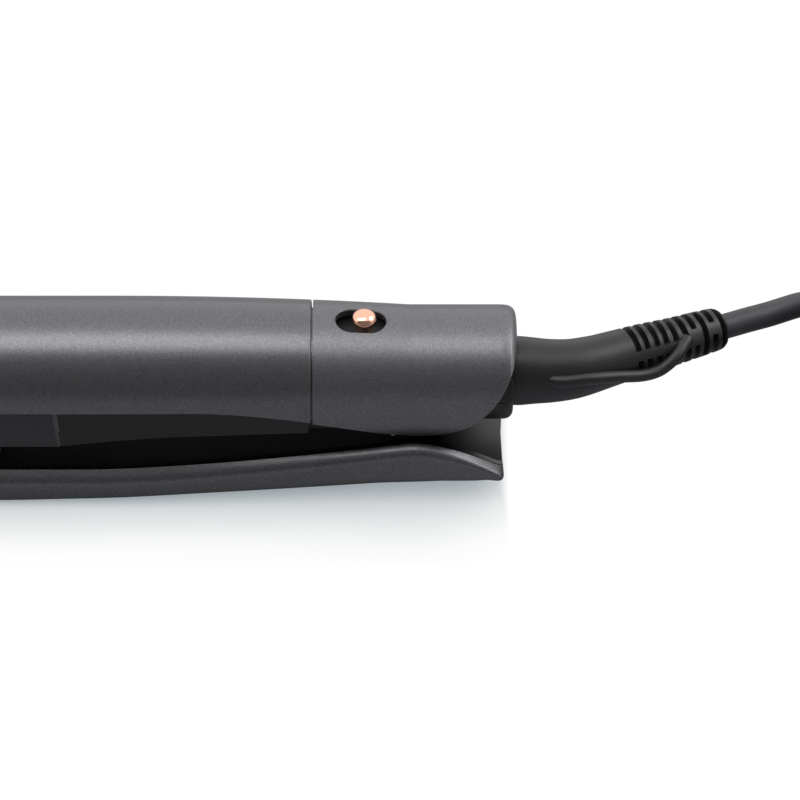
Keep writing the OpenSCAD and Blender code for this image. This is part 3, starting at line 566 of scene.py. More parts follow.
def collar_section(start, end, rounding):
    """Half shell's section as (s, radius): a rounded rear edge, and the relief's groove."""
    corner = [(start + rounding * (1 - sind(a)), collar_r - rounding * (1 - cosd(a)))
              for a in range(0, 91, 15)]
    return corner[::-1] + [(end, collar_r), (end, bore_r), (groove_end_s, bore_r),
                           (groove_end_s, flange_bore), (groove_s, flange_bore),
                           (groove_s, bore_r), (start + 0.15, bore_r), (start, bore_r + 0.15)]


def collar_half(turns, starts, end, rounding):
    rings = []
    for turn, start in zip(turns, starts):
        c, z = cosd(turn), sind(turn)
        rings.append([(at(s), r * c, axis_z + r * z)
                      for s, r in collar_section(start, end, rounding)])
    return skin(rings)


cap_turns = [0.6] + span(4, 28, 8) + [30, 30.3] + span(34, 146, 28) + [149.7, 150]
cap_turns += span(152, 176, 8) + [179.4]
cap_starts = [collar_s if t <= 30 or t >= 150 else 2.3 for t in cap_turns]
piece("collar_upper_half", collar_half(cap_turns, cap_starts, collar_end_s - 0.1, cap_round),
      black_plastic, "upper_arm", "black_plastic", "collar_cap", weighted=False,
      bevel=0.15, segments=2, creases=30)

# Lower half of the collar and the chassis: the chassis carries the inner works on a long dark
# beam, and its own plain collar is cut away where the rounded one takes its place.
weld_reach = 2e-6


def softened(node, material, body, slot, bevel, segments=2, cutters=()):
    """A copy of a CAD solid with its facets merged and its edges rounded, in its place."""
    mesh = bmesh.new()
    mesh.from_mesh(bpy.data.objects[node].data)
    bmesh.ops.remove_doubles(mesh, verts=mesh.verts, dist=weld_reach)
    bmesh.ops.dissolve_limit(mesh, angle_limit=math.radians(0.6), verts=mesh.verts,
                             edges=mesh.edges)
    return piece(node + "_moulded", mesh, material, body, slot, node, bevel=bevel,
                 segments=segments, angle=40, creases=35, cutters=cutters)


def block(mesh, centre, size):
    """Adds a box to a working mesh."""
    bmesh.ops.create_cube(mesh, size=1, matrix=Matrix.Translation(Vector(centre) * MM)
                          @ Matrix.Diagonal((*(Vector(size) * MM), 1)))


low_turns = span(180.6, 359.4, 48)
cut_s, cut_l, cut_across = 4, 19.8, 50
piece("collar_lower_half",
      collar_half(low_turns, [collar_s] * len(low_turns), collar_end_s, low_round),
      black_plastic, "upper_arm", "black_plastic", weighted=False, creases=30)
collar_cut = bmesh.new()
block(collar_cut, (at(cut_s), 0, axis_z), (cut_l, cut_across, cut_across))
softened("chassis", black_plastic, "upper_arm", "black_plastic", 0.25,
         cutters=[solid("collar_cut", collar_cut)])

# Strain relief: soft moulded rubber on the lead. It turns in the collar, tapers and bends
# away, and is cut by ten ring slots with bridges between them. A loop to hang it up by is
# moulded along its near side.
rubber, tree, shader, place = finish_named("matte_relief_rubber", (0.012, 0.0115, 0.013), 0.4,
                                           uneven=(0.31, 0.16, 1100), Specular_IOR_Level=0.45)
tint(tree, shader, noise(tree, place, 300, 3), (0.0095, 0.009, 0.0105),
     (0.0165, 0.0155, 0.018))
rough_skin(tree, shader, place, 2400, 0.014)
relief_profile = [(-7.55, 5.2), (-7.55, 9.7), (-4.05, 9.7), (-4.05, 8.3), (0, 8.35), (1, 8.35),
                  (5.8, 7.87), (10.7, 7.5), (15.5, 7.14), (20.3, 6.75), (25, 6.5), (30, 6.3),
                  (35, 6.0), (39.7, 5.75), (44.6, 5.5), (47.6, 5.3), (48.9, 5.1), (49.5, 4.6),
                  (49.9, 3.9), (50, 3.2)]
slot_first, slot_pitch, slot_half, slot_deep = 27.3, 2.34, 0.6, 2.0
relief_sides, head_end, loop_steps = 120, -2, 90
picture_up = Vector((0, view_back.z, -view_back.y))
slot_arcs = [((-5, 150), (205, 335))] * 6 + [((14, 150), (205, 332)), ((-82, 84), (110, 250)),
                                             ((20, 150), (205, 348)), ((-82, 84), (110, 250))]


def relief_frame(offset):
    """Middle of the relief at that distance behind the arm, and the directions towards the
    camera and up in the picture, square to its heading."""
    if offset < head_end:
        return Vector((rear_x + offset, 0, axis_z)), view_back, picture_up
    lower, upper = 0.0, 1.0
    for _ in range(24):
        share = (lower + upper) / 2
        x = smooth_point(relief_line, share).x - rear_x
        lower, upper = (share, upper) if x < offset else (lower, share)
    heading = (smooth_point(relief_line, min(share + 0.01, 1))
               - smooth_point(relief_line, max(share - 0.01, 0))).normalized()
    facing = (view_back - view_back.dot(heading) * heading).normalized()
    up = heading.cross(facing)
    return smooth_point(relief_line, share), facing, up * (1 if up.dot(picture_up) > 0 else -1)


def relief_radius(offset):
    for (a, r), (b, q) in zip(relief_profile[4:], relief_profile[5:]):
        if offset <= b:
            return r + (q - r) * (offset - a) / (b - a)
    return relief_profile[-1][1]


def slot_depth(offset, turn):
    k = round((offset - slot_first) / slot_pitch)
    if not 0 <= k < len(slot_arcs):
        return 0
    across = 1 - soft_step(abs(offset - slot_first - k * slot_pitch), slot_half - 0.12,
                           slot_half + 0.08)
    around = max(soft_step(((turn - a + 180) % 360) - 180, 0, 7)
                 * soft_step(((b - turn + 180) % 360) - 180, 0, 7)
                 if (turn - a) % 360 <= (b - a) % 360 else 0 for a, b in slot_arcs[k])
    return slot_deep * across * around


relief_rings = []
fine = span(0, 26, 32) + span(26.1, 49, 190) + span(49.1, 50, 9)
for offset, radius in relief_profile[:4] + [(o, relief_radius(o)) for o in fine]:
    here, facing, up = relief_frame(offset)
    ring = []
    for i in range(relief_sides):
        turn = 360 * i / relief_sides
        deep = slot_depth(offset, turn) if offset > 25 else 0
        angle = math.radians(turn)
        ring.append(here + (radius - deep) * (math.cos(angle) * facing + math.sin(angle) * up))
    relief_rings.append(ring)
piece("relief_moulded", skin(relief_rings), rubber, "mains_lead", "lead_pvc",
      "lead_relief", weighted=False, creases=50)

# Hanging loop: the smooth strap along the relief's near side, of the same rubber and moulded
# in one piece with it.
loop_route = [(5.5, -4.4, 1.8), (10.7, -6.6, 2.5), (17, -5.7, 2.5), (23.5, -3.3, 1),
              (30, -0.7, -1), (34, 1.2, -1.4), (36.8, 3, -0.6), (39, 5.1, 0.5),
              (40.4, 7.6, 1.2), (41.3, 9.5, 1.3)]
loop_line = smooth_path([relief_start + Vector(p) for p in loop_route], loop_steps)


def tube_rings(line, radii, sides, lean=Vector((0, 0, 1))):
    """Rings of a round strand along a line, square to its heading."""
    rings = []
    for i, (p, radius) in enumerate(zip(line, radii)):
        heading = (line[min(i + 1, len(line) - 1)] - line[max(i - 1, 0)]).normalized()
        side = heading.cross(lean).normalized()
        up = side.cross(heading)
        rings.append([p + radius * (math.cos(2 * math.pi * k / sides) * side
                                    + math.sin(2 * math.pi * k / sides) * up)
                      for k in range(sides)])
    return rings


loop_radii = [1.5 + 0.3 * (1 - soft_step(i, 0, 20)) + 0.3 * soft_step(i, 76, loop_steps)
              for i in range(loop_steps + 1)]
piece("relief_hanging_loop", skin(tube_rings(loop_line, loop_radii, 24)), rubber,
      "mains_lead", "lead_pvc", weighted=False, creases=60)

# Lower casing: the painted trough of the lower arm. Its sides slope in over a soft crease to
# a thin rim, which rises to the hinge and drops to the scooped tail.
low_w_rear, low_w_front, shoulder_w = 16.8, 17.9, 2.8
rim_front, rim_hinge, rim_tail, belly_tail, belly_r = 10, 17.6, 8.8, 6, 4
scallop, tail_s, rim_t, liner_t, liner_r, liner_play = 0.7, 3, 1.4, 1.3, 7, 0.1
rim_run_s, rim_peak_s, rim_rear_s, flat_s, corner_r = 105, 26, 24, 125, 1.6


def low_width(s):
    """Half width of the lower casing, with a rounded corner at the tail."""
    if s < rim_rear_s:
        over = unit_step((tail_s + corner_r - s) / corner_r)
        taper = ((rim_rear_s - s) / (rim_rear_s - tail_s)) ** 2
        return low_w_rear - taper - corner_r * (1 - math.sqrt(1 - over ** 2))
    if s < flat_s:
        return low_w_rear + (low_w_front - low_w_rear) * unit_step((s - 30) / 65)
    return low_w_front - 0.7 * ((s - flat_s) / (body_l - flat_s)) ** 2


def rim_height(s):
    if s < rim_rear_s:
        return rim_hinge - (rim_hinge - rim_tail) * ((rim_rear_s - s)
                                                     / (rim_rear_s - tail_s)) ** 1.6
    return rim_front + (rim_hinge - rim_front) * unit_step((rim_run_s - s)
                                                           / (rim_run_s - rim_peak_s)) ** 1.6


def crease_height(s):
    return rim_height(s) - 1.1 - 1.2 * unit_step((s - 35) / 50)


def belly_height(s):
    return belly_tail * unit_step((flat_s - s) / (flat_s - 18)) ** 1.4


def floor_t(s):
    return wall - 0.6 * unit_step((18 - s) / 15)


def quarter(cy, cz, radius, steps=10):
    return [(cy - radius * cosd(90 * i / steps),
             cz - radius * sind(90 * i / steps)) for i in range(steps + 1)]


def filleted(before, corner, after, radius, steps=7):
    """Points that round the corner between two straight stretches."""
    p, a, b = Vector(corner), Vector(before), Vector(after)
    u, v = (a - p).normalized(), (b - p).normalized()
    half = math.acos(max(-1, min(1, u.dot(v)))) / 2
    reach = min(radius / math.tan(half), 0.8 * (a - p).length, 0.8 * (b - p).length)
    start, end = p + u * reach, p + v * reach
    made = []
    for i in range(steps + 1):
        t = i / steps
        made.append(tuple(start * (1 - t) ** 2 + 2 * t * (1 - t) * p + end * t ** 2))
    return made


def both_sides(half):
    return half + [(-y, z) for y, z in half[-2::-1]]


def arm_ring(s, outer, inner):
    """A band along the arm's section; the tail's end is scooped out in plan."""
    w = low_width(s)
    line = both_sides(outer) + both_sides(inner)[::-1]
    return [(at(s + scallop * (1 - (y / w) ** 2) * unit_step((20 - s) / 17) ** 2), y, z)
            for y, z in line]


def casing_band(s):
    """Section of the trough: rim, soft crease, side and rounded belly, and back inside."""
    w, b, r, c = low_width(s), belly_height(s), rim_height(s), crease_height(s)
    ro = min(belly_r - 1.7 * unit_step((34 - s) / 24), (c - b) * 0.55)
    f = b + floor_t(s)
    ri = min(belly_r - wall, (r - rim_t - f) * 0.5)
    rim, crease, side = (-(w - shoulder_w), r), (-w, c), (-w, b + ro)
    round_r = 1.4 + 1.6 * unit_step((s - 5) / 12) + 1.5 * unit_step((s - 25) / 60)
    outer = ([rim] + filleted(rim, crease, side, round_r) + quarter(-(w - ro), b + ro, ro)
             + [(0, b)])
    low = max(c - 1.6, f + ri + 0.05)
    under, inside, foot = ((-(w - shoulder_w), r - rim_t), (-(w - wall), low),
                           (-(w - wall), f + ri))
    inner = [under] + filleted(under, inside, foot, 1.0) + quarter(-(w - wall - ri), f + ri, ri)
    return arm_ring(s, outer, inner + [(0, f)])


low_stops = (span(tail_s, tail_s + corner_r, 6) + span(5, 30, 50) + span(31, flat_s, 62)
             + span(130, body_l - nose_l, 22))
piece("lower_casing_painted", skin([casing_band(s) for s in low_stops], folded=True), paint,
      "lower_arm", "charcoal_paint", "lower_casing", bevel=0.4, segments=4, angle=45)

# Lower liner: the dark moulded tray in the trough, with the two outer knuckles of the hinge.
# It is matt, and painted near black between the arms as painted shade; towards its open rear end
# it is painted paler as painted light, with a coat laid on only there as a painted sheen.
painted_shade_black, painted_light_grey = (0.0018, 0.0018, 0.0018), (0.045, 0.045, 0.046)
black_painted_shade_and_light, tree, shader, place = finish_named("deep_black_moulding", painted_shade_black, 0.4,
                                               uneven=(0.34, 0.16, 700),
                                               Specular_IOR_Level=0.05, Coat_Roughness=0.3)
# Painted light: a mask along the arm raises the colour and the coat towards the tail's open end.
painted_light_at_open_end = along_axis(tree, place, "X").smooth(at(19) * MM, at(4) * MM)
tint(tree, shader, painted_light_at_open_end, painted_shade_black, painted_light_grey)
feed(tree, painted_light_at_open_end * 0.9, shader, "Coat Weight")
liner_end_s, knuckle_in, knuckle_out, barrel_r = 125.5, 6.7, 9.2, 3.6
hinge_s, hinge_z = 22, 14.8
hinge_x = at(hinge_s)


def liner_band(s):
    w, r = low_width(s), rim_height(s)
    h, b = w - shoulder_w - liner_play, belly_height(s) + floor_t(s) + liner_play
    ro, ri = min(liner_r, (r - b) * 0.9), min(liner_r - liner_t, (r - b - liner_t) * 0.9)
    outer = [(-h, r)] + quarter(-(h - ro), b + ro, ro) + [(0, b)]
    inner = [(-(h - liner_t), r)] + quarter(-(h - liner_t - ri), b + liner_t + ri, ri)
    return arm_ring(s, outer, inner + [(0, b + liner_t)])


liner_stops = span(tail_s, tail_s + corner_r, 6) + span(5, 30, 50) + span(31, liner_end_s, 62)
piece("lower_liner_moulded", skin([liner_band(s) for s in liner_stops], folded=True),
      black_painted_shade_and_light, "lower_arm", "black_plastic", "lower_liner", bevel=0.25)
knuckle_foot = belly_height(hinge_s) + floor_t(hinge_s) + liner_play + 0.65 * liner_t
both_ways = ((-1, "near"), (1, "far"))
for side, way in both_ways:
    y1, y2 = sorted((side * knuckle_in, side * knuckle_out))
    outline = [(-barrel_r, knuckle_foot - hinge_z), (barrel_r, knuckle_foot - hinge_z)]
    outline += [(barrel_r * cosd(a), barrel_r * sind(a)) for a in range(0, 181, 10)]
    rings = [[(hinge_x + x, y, hinge_z + z) for x, z in outline] for y in (y1, y2)]
    piece("hinge_knuckle_" + way, skin(rings), black_painted_shade_and_light, "lower_arm", "black_plastic",
          bevel=0.25, segments=2)

# Frames and nose caps: a grey heat-proof frame carries the upper plate, a black one the
# lower plate. Flat cheeks and inner walls close the upper arm's sides; the cheeks end in a
# leaning chamfer. The caps close both arms at the front, outside the photograph.
grey, painted_lit_grey = (0.038, 0.037, 0.043), (0.085, 0.083, 0.09)
cheek_y, cheek_in, cheek_low, cheek_high = 15.5, 14.2, 17.7, 30.6
cheek_s, cheek_end_s, cheek_lean, chamfer_s, chamfer_y = 110.3, 283.9, 1.4, 1.2, 0.9
wall_y, wall_in, wall_top = 15.1, 13.8, 2.5
wall_steps = [(50, 6.6, 0), (68, 7.4, 0), (85, 8.2, 0), (97, 9.3, 0), (109.7, 11, 1.5)]
grey_plastic, tree, shader, place = finish_named("grey_heatproof_moulding", grey, 0.5,
                                                 uneven=(0.42, 0.16, 800),
                                                 Specular_IOR_Level=0.3)
rough_skin(tree, shader, place, 2000, 0.016, 2)
# Painted light: the grey turns paler from the cheeks' leaning chamfers rearward, as if lit
# there.
above = along_axis(tree, place, "Z") - cheek_low * MM
leaned = along_axis(tree, place, "X") + above * (cheek_lean / (cheek_high - cheek_low))
painted_light_on_chamfer = leaned.smooth(at(cheek_s + 0.2) * MM, at(cheek_s - 0.1) * MM)
tint(tree, shader, painted_light_on_chamfer, grey, painted_lit_grey)
softened("upper_housing", grey_plastic, "upper_arm", "grey_plastic", 0.5, segments=3)


def slab_ring(s, lean, side, out, inside, low, high):
    """Section of an upright slab; where it leans, its top is nearer to the nose."""
    return [(at(s), side * out, low), (at(s), side * inside, low),
            (at(s + lean), side * inside, high), (at(s + lean), side * out, high)]


cheek_steps = [(cheek_s - chamfer_s, cheek_y - chamfer_y, cheek_lean),
               (cheek_s, cheek_y, cheek_lean), (cheek_end_s, cheek_y, 0)]
for side, way in both_ways:
    rings = [slab_ring(s, lean, side, out, cheek_in, cheek_low, cheek_high)
             for s, out, lean in cheek_steps]
    piece("frame_cheek_" + way, skin(rings), grey_plastic, "upper_arm", "grey_plastic",
          bevel=0.1, weighted=False)
    rings = [slab_ring(s, lean, side, wall_y, wall_in, axis_z - drop, axis_z + wall_top)
             for s, drop, lean in wall_steps]
    piece("inner_wall_" + way, skin(rings), black_plastic, "upper_arm", "black_plastic",
          bevel=0.25, creases=30)
softened("lower_housing", black_painted_shade_and_light, "lower_arm", "black_plastic", 0.25)
for node, body in (("upper_tip", "upper_arm"), ("lower_tip", "lower_arm")):
    cap = softened(node, black_plastic, body, "black_plastic", 0)
    melt = cap.modifiers.new("melt", "REMESH")
    melt.mode, melt.voxel_size, melt.use_smooth_shade = "VOXEL", 0.4 * MM, True
    relax = cap.modifiers.new("relax", "SMOOTH")
    relax.factor, relax.iterations = 0.5, 14
    apply_modifiers(cap)
    cap.data.materials.clear()
    cap.data.materials.append(black_plastic)

# Hair plates: a dark titanium coating with a fine fleck. The lower one floats on its pads
# and carries its heater; the upper one has the row of steam slots.
coating, tree, shader, place = finish_named("titanium_ceramic_coating", (0.2, 0.16, 0.15), 0.3,
                                            0.7)
fleck = noise(tree, place, 3000, 1)
tint(tree, shader, fleck, (0.16, 0.13, 0.12), (0.26, 0.21, 0.195))
feed(tree, 0.24 + 0.12 * fleck, shader, "Roughness")
softened("upper_plate", coating, "upper_arm", "plate_coating", 0.35, segments=3)
softened("lower_plate", coating, "floating_plate", "plate_coating", 0.35, segments=3)

# Heaters and steam bar: bare die-cast aluminium, dull and slightly blotched. They are
# clamped behind the plates.
aluminium, tree, shader, place = finish_named("bare_cast_aluminium", (0.62, 0.63, 0.65), 0.42,
                                              1.0, (0.34, 0.2, 220, 3, 0.6))
rough_skin(tree, shader, place, 900, 0.02)
for node, body in (("upper_heater", "upper_arm"), ("lower_heater", "floating_plate"),
                   ("steam_bar", "upper_arm")):
    softened(node, aluminium, body, "bare_aluminium", 0.25)

# Silicone pads: soft red blocks of moulded silicone, set in the lower frame. They carry the
# floating plate and give way under it.
silicone = finish_named("red_silicone", (0.42, 0.035, 0.022), 0.55,
                        uneven=(0.5, 0.12, 400), Subsurface_Weight=0.08)[0]
softened("plate_pads", silicone, "lower_arm", "silicone_red", 0.3)

# Steam chamber: a small boiler of drawn brass, soldered shut and a little tarnished, ahead of
# the water pump.
brass, tree, shader, place = finish_named("boiler_brass", (0.66, 0.45, 0.17), 0.34, 1.0)
tarnish = noise(tree, place, 120, 3, 0.6)
tint(tree, shader, tarnish, (0.7, 0.49, 0.2), (0.48, 0.31, 0.12))
feed(tree, 0.26 + 0.2 * tarnish, shader, "Roughness")
softened("steam_chamber", brass, "upper_arm", "boiler_brass", 0.8, segments=3)

# Pump, water pipe and tank valve: moulded of white acetal. They bring the water from the
# tank to the steam chamber; the pump and the pipe are clipped to the chassis.
white_plastic = finish_named("white_acetal", (0.72, 0.71, 0.67), 0.4,
                             uneven=(0.36, 0.1, 300), Subsurface_Weight=0.05)[0]
for node, body, bevel in (("water_pump", "upper_arm", 0.5), ("water_pipe", "upper_arm", 0.08),
                          ("tank_valve", "tank", 0.15)):
    softened(node, white_plastic, body, "white_plastic", bevel)

# Tank vessel: moulded of smoke-tinted clear plastic, inside the painted shell. Its seal is
# a black rubber ring on the chassis.
smoke = finish_named("smoke_clear_plastic", (0.22, 0.27, 0.31), 0.12,
                     uneven=(0.08, 0.08, 200), Transmission_Weight=0.7, IOR=1.49)[0]
softened("tank_vessel", smoke, "tank", "smoke_plastic", 0.25)
seal = finish_named("seal_rubber", (0.011, 0.011, 0.012), 0.68, uneven=(0.6, 0.15, 500))[0]
softened("water_seal", seal, "upper_arm", "seal_rubber", 0.2)

# Latch slide: a moulded black strip under the slot. It runs under the crown of the tank's
# shell and carries the copper knob.
softened("latch_slide", black_plastic, "latch", "black_plastic", 0.15)

# Circuit board: glass fibre with green solder mask over faint tracks, screwed to the chassis
# under the keys.
board, tree, shader, place = finish_named("board_solder_mask", (0.01, 0.09, 0.035), 0.35,
                                          Coat_Weight=0.3)
tracks = add(tree, "ShaderNodeTexBrick", {"Vector": place, "Scale": 260.0, "Mortar Size": 0.05,
                                          "Color1": (0, 0, 0, 1), "Color2": (0, 0, 0, 1),
                                          "Mortar": (1, 1, 1, 1)}, outlet="Color")
tint(tree, shader, tracks, (0.008, 0.075, 0.03), (0.03, 0.17, 0.07))
softened("circuit_board", board, "upper_arm", "board_green", 0.12)

# Display window: a lens of black gloss plastic, moulded and polished, which is let into the
# upper casing.
window = finish_named("black_display_lens", (0.006, 0.006, 0.007), 0.06,
                      uneven=(0.05, 0.03, 90), Coat_Weight=0.6)[0]
softened("display_window", window, "upper_arm", "window_black", 0.2, segments=3)

# Push buttons: moulded caps with soft edges, which travel in bores of the upper casing. The
# power button is plated in copper like the knob; two carry a plain plus and minus in grey.
for node, body, finish, slot in (("power_button", "power_key", copper, "copper_plate"),
                                 ("plus_button", "plus_key", black_plastic, "black_plastic"),
                                 ("minus_button", "minus_key", black_plastic, "black_plastic"),
                                 ("steam_button", "steam_key", black_plastic, "black_plastic")):
    softened(node, finish, body, slot, 0.45, segments=4)
mark_ink = finish_named("light_grey_marks", (0.5, 0.5, 0.52), 0.5, uneven=(0.45, 0.1, 600))[0]
mark_l, mark_w, mark_t = 2.6, 0.45, 0.24
for node, body, bars in (("plus_button", "plus_key", ((mark_l, mark_w), (mark_w, mark_l))),
                         ("minus_button", "minus_key", ((mark_l, mark_w),))):
    low, high = box_of(node)
    signs = bmesh.new()
    for size_x, size_y in bars:
        block(signs, ((low.x + high.x) / 2, 0, high.z - 0.1), (size_x, size_y, mark_t))
    piece(body + "_mark", signs, mark_ink, body, "black_plastic")

# Hinge: a ground steel pin, sintered bronze bushes, and the spring that opens the arms,
# swept as a wire along its path.
steel = finish_named("bright_steel", (0.56, 0.56, 0.57), 0.24, 1.0,
                     (0.18, 0.14, 350, 3, 0.6))[0]
softened("hinge_pin", steel, "lower_arm", "bright_steel", 0.2)
bronze = finish_named("sintered_bronze", (0.42, 0.25, 0.1), 0.45, 1.0,
                      (0.38, 0.16, 700, 3, 0.6))[0]
softened("hinge_bushes", bronze, "lower_arm", "bronze", 0.1)

spring_wire, spring_r, spring_turns, spring_pitch, spring_leg = 0.8, 2.6, 3.5, 1.25, 8
spine_bottom, spring_fit, spring_steps = 18.9, 0.1, 126
spring_y = spring_pitch * spring_turns / 2
leg_s = hinge_s + spring_leg
spring_path = [(hinge_x - spring_leg, -spring_y,
                belly_height(leg_s) + floor_t(leg_s) + liner_play + liner_t + spring_wire / 2
                + spring_fit)]
for i in range(spring_steps + 1):
    turn = math.radians(-20 + (360 * spring_turns + 28) * i / spring_steps)
    spring_path.append((hinge_x + spring_r * math.sin(turn),
                        2 * spring_y * i / spring_steps - spring_y,
                        hinge_z - spring_r * math.cos(turn)))
spring_path.append((hinge_x - spring_leg, spring_y,
                    spine_bottom - spring_wire / 2 - spring_fit))


def join(nodes, *pairs):
    for start, end in pairs:
        nodes.links.new(start, end)


def dressed_tree(name, setting, kind):
    """A modifier's node tree with its sockets, which realizes its result and gives it its
    finish. Returns the tree, its input node and the socket that takes the result."""
    nodes = bpy.data.node_groups.new(name, "GeometryNodeTree")
    nodes.is_modifier = True
    for socket, way, sort in (("Geometry", "INPUT", "NodeSocketGeometry"),
                              (setting, "INPUT", kind),
                              ("Finish", "INPUT", "NodeSocketMaterial"),
                              ("Geometry", "OUTPUT", "NodeSocketGeometry")):
        nodes.interface.new_socket(socket, in_out=way, socket_type=sort)
    source, sink = nodes.nodes.new("NodeGroupInput"), nodes.nodes.new("NodeGroupOutput")
    realize = nodes.nodes.new("GeometryNodeRealizeInstances")
    dress = nodes.nodes.new("GeometryNodeSetMaterial")
    join(nodes, (realize.outputs["Geometry"], dress.inputs["Geometry"]),
         (source.outputs["Finish"], dress.inputs["Material"]),
         (dress.outputs["Geometry"], sink.inputs["Geometry"]))
    return nodes, source, realize.inputs["Geometry"]


def wire_tree():
    """Nodes that sweep a round wire of a named radius along a curve."""
    nodes, source, result = dressed_tree("wire_along_curve", "Wire Radius", "NodeSocketFloat")
    ring = nodes.nodes.new("GeometryNodeCurvePrimitiveCircle")
    ring.inputs["Resolution"].default_value = 20
    sweep = nodes.nodes.new("GeometryNodeCurveToMesh")
    sweep.inputs["Fill Caps"].default_value = True
    smooth = nodes.nodes.new("GeometryNodeSetShadeSmooth")
    join(nodes, (source.outputs["Geometry"], sweep.inputs["Curve"]),
         (source.outputs["Wire Radius"], ring.inputs["Radius"]),
         (ring.outputs["Curve"], sweep.inputs["Profile Curve"]),
         (sweep.outputs["Mesh"], smooth.inputs["Geometry"]),
         (smooth.outputs["Geometry"], result))
    return nodes


def from_nodes(carrier, tree, name, **values):
    """Runs a node tree on an object and returns the result as a plain mesh object."""
    modifier = carrier.modifiers.new("nodes", "NODES")
    modifier.node_group = tree
    for item in tree.interface.items_tree:
        if item.in_out == "INPUT" and item.name.replace(" ", "_") in values:
            modifier[item.identifier] = values[item.name.replace(" ", "_")]
    graph = bpy.context.evaluated_depsgraph_get()
    made = linked(name, bpy.data.meshes.new_from_object(carrier.evaluated_get(graph),
                                                        depsgraph=graph))
    bpy.data.objects.remove(carrier)
    return made


registered(from_nodes(path_curve("spring_path", spring_path), wire_tree(), "hinge_spring_wire",
                      Wire_Radius=spring_wire / 2 * MM, Finish=steel),
           "lower_arm", "bright_steel", "hinge_spring")

# Screws: bright steel with a cross recess, turned and rolled. They are instances of one
# screw on the points where they sit.
screw_r, head_r, head_t = 1.2, 2.2, 1.2
recess_l, recess_w, recess_t = 2.6, 0.5, 1.4


def screw_pattern(length, up):
    """One screw with its head's face at the origin, its shank up or down."""
    shape = [(0.0, 0.0), (head_r - 0.25, 0.0), (head_r, 0.25), (head_r, head_t),
             (screw_r, head_t), (screw_r, head_t + length - 0.6), (0.5, head_t + length),
             (0.0, head_t + length)]
    mesh = turned(shape, 32)
    if not up:
        bmesh.ops.rotate(mesh, verts=mesh.verts, cent=(0, 0, 0),
                         matrix=Matrix.Rotation(math.pi, 3, "X"))
    pattern = solid("screw_pattern", mesh)
    for turn in (0, 90):
        bar = bmesh.new()
        block(bar, (0, 0, 0), (recess_l, recess_w, recess_t))
        bmesh.ops.rotate(bar, verts=bar.verts, cent=(0, 0, 0),
                         matrix=Matrix.Rotation(math.radians(turn), 3, "Z"))
        cutter = solid("screw_cross", bar)
        cut = pattern.modifiers.new("recess", "BOOLEAN")
        cut.object, cut.solver = cutter, "EXACT"
        apply_modifiers(pattern)
        bpy.data.objects.remove(cutter)
    return pattern


def instance_tree():
    """Nodes that set one object on every point of a mesh."""
    nodes, source, result = dressed_tree("object_on_points", "Pattern", "NodeSocketObject")
    thing = nodes.nodes.new("GeometryNodeObjectInfo")
    spread = nodes.nodes.new("GeometryNodeInstanceOnPoints")
    join(nodes, (source.outputs["Geometry"], spread.inputs["Points"]),
         (source.outputs["Pattern"], thing.inputs["Object"]),
         (thing.outputs["Geometry"], spread.inputs["Instance"]),
         (spread.outputs["Instances"], result))
    return nodes


on_points = instance_tree()
for node, body, length, up in (("lower_screws", "lower_arm", 5, False),
                               ("upper_screws", "upper_arm", 6, True)):
    low, high = box_of(node)
    spots = linked("screw_spots", bpy.data.meshes.new("screw_spots"))
    head_z = low.z if up else high.z
    along_x = sorted({round(low.x + head_r, 3), round(high.x - head_r, 3)})
    spots.data.from_pydata([Vector((x, y, head_z)) * MM for x in along_x
                            for y in (low.y + head_r, high.y - head_r)], [], [])
    pattern = screw_pattern(length, up)
    screws = from_nodes(spots, on_points, node + "_turned", Pattern=pattern, Finish=steel)
    bpy.data.objects.remove(pattern)
    registered(screws, body, "bright_steel", node)

# Plug, lying on the coil: a grooved relief that swells into a flat two-pin body, moulded on
# the lead in the rubber of the strain relief.
plug_relief_l, plug_l, plug_t, plug_gap, plug_step = 20, 34, 13.6, 9.9, 0.5
neck_r, neck_end_r, throat_r, plug_sides = lead_d / 2 + 0.6, 5.4, 5.6, 56
groove_t, groove_pitch, groove_w, grooves = 0.7, 2.5, 1.2, (3, 17)
swell_start, swell_way, end_round = 1, 19, 2
plug_rings = []
for i in range(round((plug_relief_l + plug_l) / plug_step) + 1):
    along = i * plug_step
    if along < plug_relief_l:
        radius = neck_r + (neck_end_r - neck_r) * along / plug_relief_l
        grooved = grooves[0] < along < grooves[1] and along % groove_pitch < groove_w
        half, gap = radius - (groove_t if grooved else 0), 0.0
    else:
        part = unit_step((along - plug_relief_l - swell_start) / swell_way)
        end = max(0, along - plug_relief_l - plug_l + end_round) / end_round
        shrink = 1 - math.sqrt(max(0, 1 - end ** 2))
        half = throat_r + part * (plug_t / 2 - 0.2 - throat_r) - end_round * shrink
        gap = plug_gap * part
    ring = []
    for k in range(plug_sides):
        turn = 2 * math.pi * (k + 0.5) / plug_sides
        y = half * math.cos(turn) + (gap if math.cos(turn) > 0 else -gap)
        ring.append(plug_at + Vector((along, y, half * math.sin(turn))))
    plug_rings.append(ring)
plug_body = piece("plug_moulded", skin(plug_rings), rubber, "mains_lead", "lead_pvc",
                  "plug_body", creases=50)

